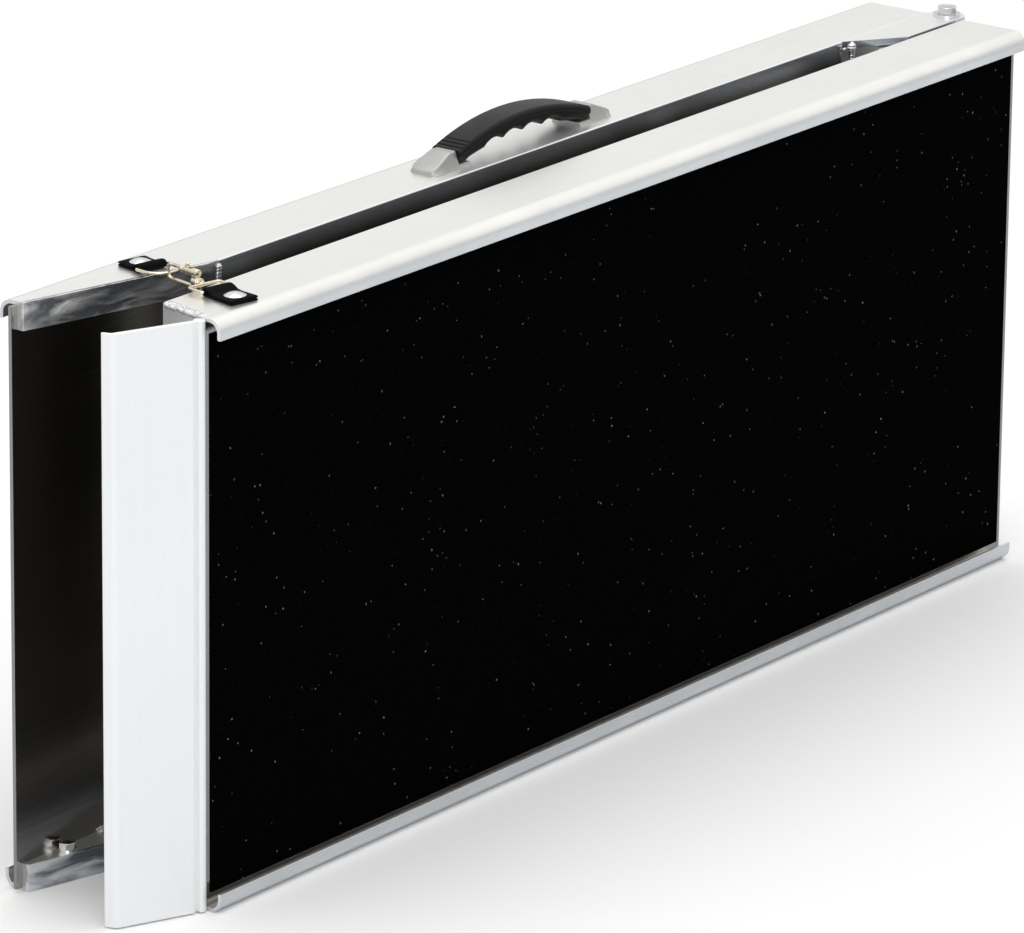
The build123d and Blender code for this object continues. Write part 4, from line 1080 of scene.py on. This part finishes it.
@dataclass
class Welds(SubAssembly):
    """Laid weld beads: ropes whose thickness rises and falls with each drop of metal."""

    pitch: float = 2.1 * MM
    wander: float = 0.25
    ripple: float = 0.16
    spread: float = 0.12
    step: float = 0.3 * MM
    knot: float = 2.6 * MM
    seed: int = 7
    end_ropes: tuple[tuple[float, float], ...] = (
        (0.3 * MM, 1.9 * MM), (1.8 * MM, 1.7 * MM), (3.4 * MM, 1.6 * MM), (4.9 * MM, 1.4 * MM))
    cap_thickness: float = 2.5 * MM
    flange_height: float = 14 * MM
    proud: tuple[float, float] = (-0.5 * MM, 0.6 * MM)
    hinge_shift: tuple[float, float] = (7.0 * MM, 4.0 * MM)

    def rope(self, start: Array, stop: Array, radius: float, side: Array, head: float = 0.0) -> Surface:
        """A bead from start to stop.

        Its radius is radius * (1 - ripple - spread + ripple |cos(pi s / pitch)| + spread * a slow
        random wave), and it shrinks to close both ends.

        Args:
            start: First end.
            stop: Other end.
            radius: Largest radius.
            side: Direction square to the bead in which it wanders.
            head: Share by which the first end swells to a ball.

        Returns:
            The surface.
        """
        length = float(np.linalg.norm(stop - start))
        count = min(max(60, int(length / self.step)), 1400)
        share = np.linspace(0, 1, count)
        run = share * length
        self.seed += 1
        random = np.random.default_rng(self.seed)
        knots = max(5, int(length / self.knot))
        slow, wide = (np.interp(run, np.linspace(0, length, knots), random.uniform(-1, 1, knots))
                      for _ in range(2))
        drop = np.abs(np.cos(math.pi * run / self.pitch + 0.8 * slow))
        ends = np.sqrt(np.clip(np.minimum(run, length - run) / (1.1 * radius), 0.02, 1))
        swell = 1 + head * np.exp(-(((run - 1.3 * radius) / (1.1 * radius)) ** 2))
        plain = 1 - self.ripple - self.spread
        size = radius * (plain + self.ripple * drop + self.spread * wide) * ends * swell
        path = start + (stop - start) * share[:, None] + side * (self.wander * radius * slow)[:, None]
        return round_bar(path, size, side, 16)

    def end_beads(self) -> list[Surface]:
        """Beads across the slanting ends of both front rails; the lower ones lie under the face."""
        beads = []
        for level, inward, proud in (("bottom", 1, self.proud[0]), ("top", -1, self.proud[1])):
            low, high = corners("front_end_cap_" + level)
            z = corners("front_rail_" + level)[int(inward < 0)][2] - inward * proud
            start = np.array([low[0], low[1] - 2.2 * MM, z])
            stop = np.array([high[0] - self.cap_thickness, high[1] + 1.6 * MM, z])
            for shift, radius in self.end_ropes:
                place = (shift, 0, inward * radius)
                beads.append(self.rope(start + place, stop + place, radius, UP))
        return beads

    def taper_beads(self) -> list[Surface]:
        """Upright beads where the taper plates meet the rear rails' inner faces."""
        low, high = corners("rear_taper_welds")
        fall = self.flange_height * UP
        beads = []
        for top in (low[2] + self.flange_height, high[2]):
            for shift in (-0.9 * MM, 0.9 * MM):
                place = np.array([(low[0] + high[0]) / 2 + shift, high[1] - 0.2 * MM, top])
                beads.append(self.rope(place, place - fall, 1.7 * MM, LENGTHWISE))
        return beads

    def hinge_beads(self) -> list[Surface]:
        """Beads down the rear flanges' cut ends, with a drop of metal at the plate's corner."""
        beads = []
        for level, inward in (("bottom", 1), ("top", -1)):
            low, high = corners("rear_hinge_plate_" + level)
            outer, inner = (low[2], high[2])[::inward]
            x, y = low[0] + self.hinge_shift[0], high[1] - self.hinge_shift[1]
            start = np.array([x, y, outer + inward * 0.4 * MM])
            stop = np.array([x - 0.8 * MM, y, inner + inward * self.flange_height])
            beads.append(self.rope(start, stop, 2.6 * MM, LENGTHWISE, head=0.8))
            along = (high[0] - 14 * MM - low[0]) * LENGTHWISE
            seam = np.array([low[0], high[1] - 0.9 * MM, inner + inward * 0.9 * MM])
            beads.append(self.rope(seam, seam + along, 1.5 * MM, UP))
        return beads

    def build(self) -> None:
        """Replace the weld nodes that show by laid beads."""
        for part, ropes, body in (("front_end", self.end_beads, Body.FRONT),
                                  ("rear_taper", self.taper_beads, Body.REAR),
                                  ("rear_hinge", self.hinge_beads, Body.REAR)):
            self.piece(part + "_beads", ropes(), body, Slot.WELD, part + "_welds", 60)


@dataclass
class LipSheet(SubAssembly):
    """The hinged lip: a long extrusion with a round bead, a faintly ribbed front and a bent nose."""

    socket: float = 4.05 * MM
    bead_gap: float = 4.3 * MM
    bead: float = 2.45 * MM
    neck: float = 1.0 * MM
    root: float = 5.2 * MM
    reach: float = 62 * MM
    front: float = 3.0 * MM
    back: float = 1.2 * MM
    nose_angle: float = 52.0
    nose_length: float = 9 * MM
    nose_thickness: float = 3 * MM
    angle: float = 23.0
    rib_pitch: float = 3.2 * MM
    rib_half: float = 0.6 * MM
    rib_depth: float = 0.05 * MM

    def outline(self) -> Array:
        """Work out the section, in turn from the bead along the back, round the nose and home.

        The front face dips by rib_depth * (0.5 + 0.5 cos) about each rib line, the bend is an arc
        that touches both straight faces, and the nose ends in a half circle.

        Returns:
            Points (along the plate, towards its front), shape (count, 2).
        """
        turn = math.radians(self.nose_angle)
        ahead = np.array([math.cos(turn), -math.sin(turn)])
        inward = np.array([-math.sin(turn), -math.cos(turn)])
        half = self.nose_thickness / 2
        neck = math.degrees(math.asin(self.neck / self.bead))
        tip = np.array([self.reach, self.front]) + ahead * (self.nose_length - half) + inward * half
        under = tip + inward * half
        back_bend = under + ahead * (-self.back - under[1]) / ahead[1]
        radius = 2 * self.nose_thickness
        touch = radius * math.tan(turn / 2)
        start = math.degrees(math.atan2(inward[1], inward[0]))
        end = arc_points(tip, half, start, start + 180, 14)
        centre = (self.reach - touch, self.front - radius)
        bend = arc_points(centre, radius, 90 - self.nose_angle, 90, 16)
        x = np.linspace(self.reach - touch - 0.5 * MM, self.root + 0.8 * MM, 420)
        turns = (x - self.root) / self.rib_pitch
        ribs = np.abs(turns - np.round(turns)) * self.rib_pitch
        dip = self.rib_depth * (0.5 + 0.5 * np.cos(np.clip(ribs / self.rib_half, 0, 1) * math.pi))
        face = np.stack([x, self.front - dip], -1)
        shoulder = arc_points((self.root + 0.5 * MM, self.front - 0.5 * MM), 0.5 * MM, 90, 180, 6)
        bead = arc_points((0, 0), self.bead, neck, 360 - neck, 40)
        straight = [(self.root, -self.neck), (self.root, -self.back)]
        return np.vstack([bead, straight, back_bend, end, bend, face, shoulder, [(self.root, self.neck)]])

    def build(self) -> None:
        """Carry the section across the width on the bead's axis."""
        lean = math.radians(self.angle)
        along = np.array([-math.cos(lean), math.sin(lean), 0])
        towards = np.array([-math.sin(lean), -math.cos(lean), 0])
        rail, socket = corners("front_rail_top"), corners("lip_socket")
        axis = np.array([rail[0][0] - self.bead_gap, socket[1][1] - self.socket, 0])
        section = self.outline()
        flat = axis + section[:, :1] * along + section[:, 1:] * towards
        heights = np.linspace(*corners("lip_plate")[:, 2], 9)
        sheet = Surface(flat[None] + heights[:, None, None] * UP, flat_ends=True)
        self.piece("lip_sheet", [sheet], Body.LIP, Slot.LIP, "lip_plate", 40)


@dataclass
class Fasteners(SubAssembly):
    """The bolts whose heads show: the upper pivot and the one on the rear bottom rail."""

    thread_depth: float = 0.18 * MM
    thread_pitch: float = 1.25 * MM

    def bolt(self, node: str, across: float, head: float, shank: float) -> list[Surface]:
        """A hexagon head on a shank with a threaded end: the thread is a cosine along the shank."""
        low, high = corners(node)
        base = np.array([*(low + high)[:2] / 2, high[2] - head])
        bottom = low[2] - base[2]
        heights = np.linspace(bottom, 0, 160)
        wave = 0.5 - 0.5 * np.cos(2 * math.pi * heights / self.thread_pitch)
        profile = [(shank * 0.8, bottom), *zip(shank - self.thread_depth * wave, heights)]
        return [hexagon_head(across, head, base), spun(profile, base, UP, 32)]

    def build(self) -> None:
        """Build both bolts."""
        pivot = self.bolt("pivot_bolt_top", across=13 * MM, head=5.3 * MM, shank=4 * MM)
        stud = self.bolt("rear_stud_bolt", across=10 * MM, head=4.2 * MM, shank=3 * MM)
        self.piece("pivot_bolt", pivot, Body.FRONT, Slot.ZINC, "pivot_bolt_top", 24)
        self.piece("stud_bolt", stud, Body.REAR, Slot.ZINC, "rear_stud_bolt", 24)


# Studio --------------------------------------------------------------------------------------
@dataclass
class Studio:
    """A pale floor, soft light from above and the sides, and the camera."""

    azimuth: float = -53.174
    elevation: float = 17.99
    roll: float = 0.63
    distance: float = 6.8222
    lens: float = 273.95
    aim: Sequence[float] = (1.11558, 0.85968, -0.27812)
    floor_half: float = 30.0
    horizon: Colour = (0.42, 0.45, 0.5)
    zenith: Colour = (0.97, 0.97, 0.955)
    pale_from: float = 0.42
    # Grey that reflections see instead of the pale floor: a painted reflection.
    floor_mirrored: Colour = (0.5, 0.53, 0.58)

    def camera(self) -> None:
        """Place the camera: it looks back along (azimuth, elevation) at its aim, rolled a little."""
        a, e, c = math.radians(self.azimuth), math.radians(self.elevation), math.radians(self.roll)
        back = Vector((math.sin(a) * math.cos(e), -math.cos(a) * math.cos(e), math.sin(e)))
        right = (-back).cross(Vector((0, 0, 1))).normalized()
        up = right.cross(-back).normalized()
        rolled = right * math.cos(c) + up * math.sin(c)
        top = up * math.cos(c) - right * math.sin(c)
        data = bpy.data.cameras.new("camera")
        data.lens = self.lens
        data.sensor_width = 36.0
        data.clip_end = 200.0
        data.clip_start = 0.1
        camera = add_object("camera", data)
        turn = Matrix((rolled, top, back)).transposed().to_4x4()
        camera.matrix_world = Matrix.Translation(Vector(self.aim) + back * self.distance) @ turn
        bpy.context.scene.camera = camera

    def floor(self) -> None:
        """Lay the floor: pale, with a darker, cooler grey painted in for reflections only, which the
        metal shows as a painted reflection.
        """
        mesh = bpy.data.meshes.new("floor")
        h = self.floor_half
        mesh.from_pydata([(-h, -h, 0), (h, -h, 0), (h, h, 0), (-h, h, 0)], [], [(0, 1, 2, 3)])
        material, tree, shader = new_material("pale_floor")
        shader.inputs["Roughness"].default_value = 0.8
        place = tree.node("TexCoord").outputs["Object"]
        grain = tree.placed("TexNoise", place, i_Scale=3.0, i_Detail=3.0)
        pale = tree.blend(grain.outputs[0], grey(0.86), grey(0.88))
        # Painted reflection: glossy rays see floor_mirrored instead of the pale floor.
        mirrored = tree.node("LightPath").outputs["Is Glossy Ray"]
        tree.link(tree.blend(mirrored, pale, self.floor_mirrored), shader.inputs["Base Color"])
        mesh.materials.append(material)
        add_object("floor", mesh)

    def light(self, name: str, place: Sequence[float], target: Sequence[float], size: float,
              power: float) -> None:
        """Hang a square soft light that faces its target and isn't seen itself."""
        data = bpy.data.lights.new(name, "AREA")
        data.size = size
        data.energy = power
        lamp = add_object(name, data)
        lamp.location = place
        lamp.rotation_mode = "QUATERNION"
        lamp.rotation_quaternion = (Vector(target) - Vector(place)).to_track_quat("-Z", "Y")
        lamp.visible_camera = False

    def sky(self) -> None:
        """Pale above, darker and cooler towards the horizon, and white to the camera."""
        world = bpy.data.worlds.new("studio")
        bpy.context.scene.world = world
        world.use_nodes = True
        tree = Tree(world.node_tree)
        shader = world.node_tree.nodes["Background"]
        parts = tree.placed("SeparateXYZ", tree.node("TexCoord").outputs["Generated"])
        height = tree.span(parts.outputs[2], 0.0, self.pale_from)
        around = tree.blend(height, self.horizon, self.zenith)
        seen = tree.node("LightPath").outputs["Is Camera Ray"]
        tree.link(tree.blend(seen, around, grey(1.0)), shader.inputs["Color"])
        shader.inputs["Strength"].default_value = 1.0

    def build(self) -> None:
        """Set the whole stage."""
        self.camera()
        self.floor()
        self.light("overhead", place=(0, 0, 4), target=(0, 0, 0), size=4.0, power=66)
        self.light("side", place=(-4, -3, 2.2), target=(0, 0, 0.2), size=2.5, power=40)
        self.sky()
        bpy.context.scene.view_settings.view_transform = "Standard"


def dress_frame(materials: dict[Slot, Material]) -> None:
    """Give every carried-over node the material of its slot."""
    slots = {entry["node"]: Slot(entry["material_slot"]) for entry in frame["record"]["subparts"]}
    for node, obj in frame["nodes"].items():
        obj.data.materials.clear()
        obj.data.materials.append(materials[slots[node]])
        LOG.info("%s: %s", node, slots[node].value)


def main() -> None:
    """Build the stage, the materials and each sub-assembly."""
    logging.basicConfig(level=logging.INFO, format="%(message)s")
    Studio().build()
    materials = {slot: finish.build() for slot, finish in FINISHES.items()}
    dress_frame(materials)
    for kind in (Handle, Clip, Welds, LipSheet, Fasteners):
        kind(materials).build()


if __name__ == "__main__":
    main()
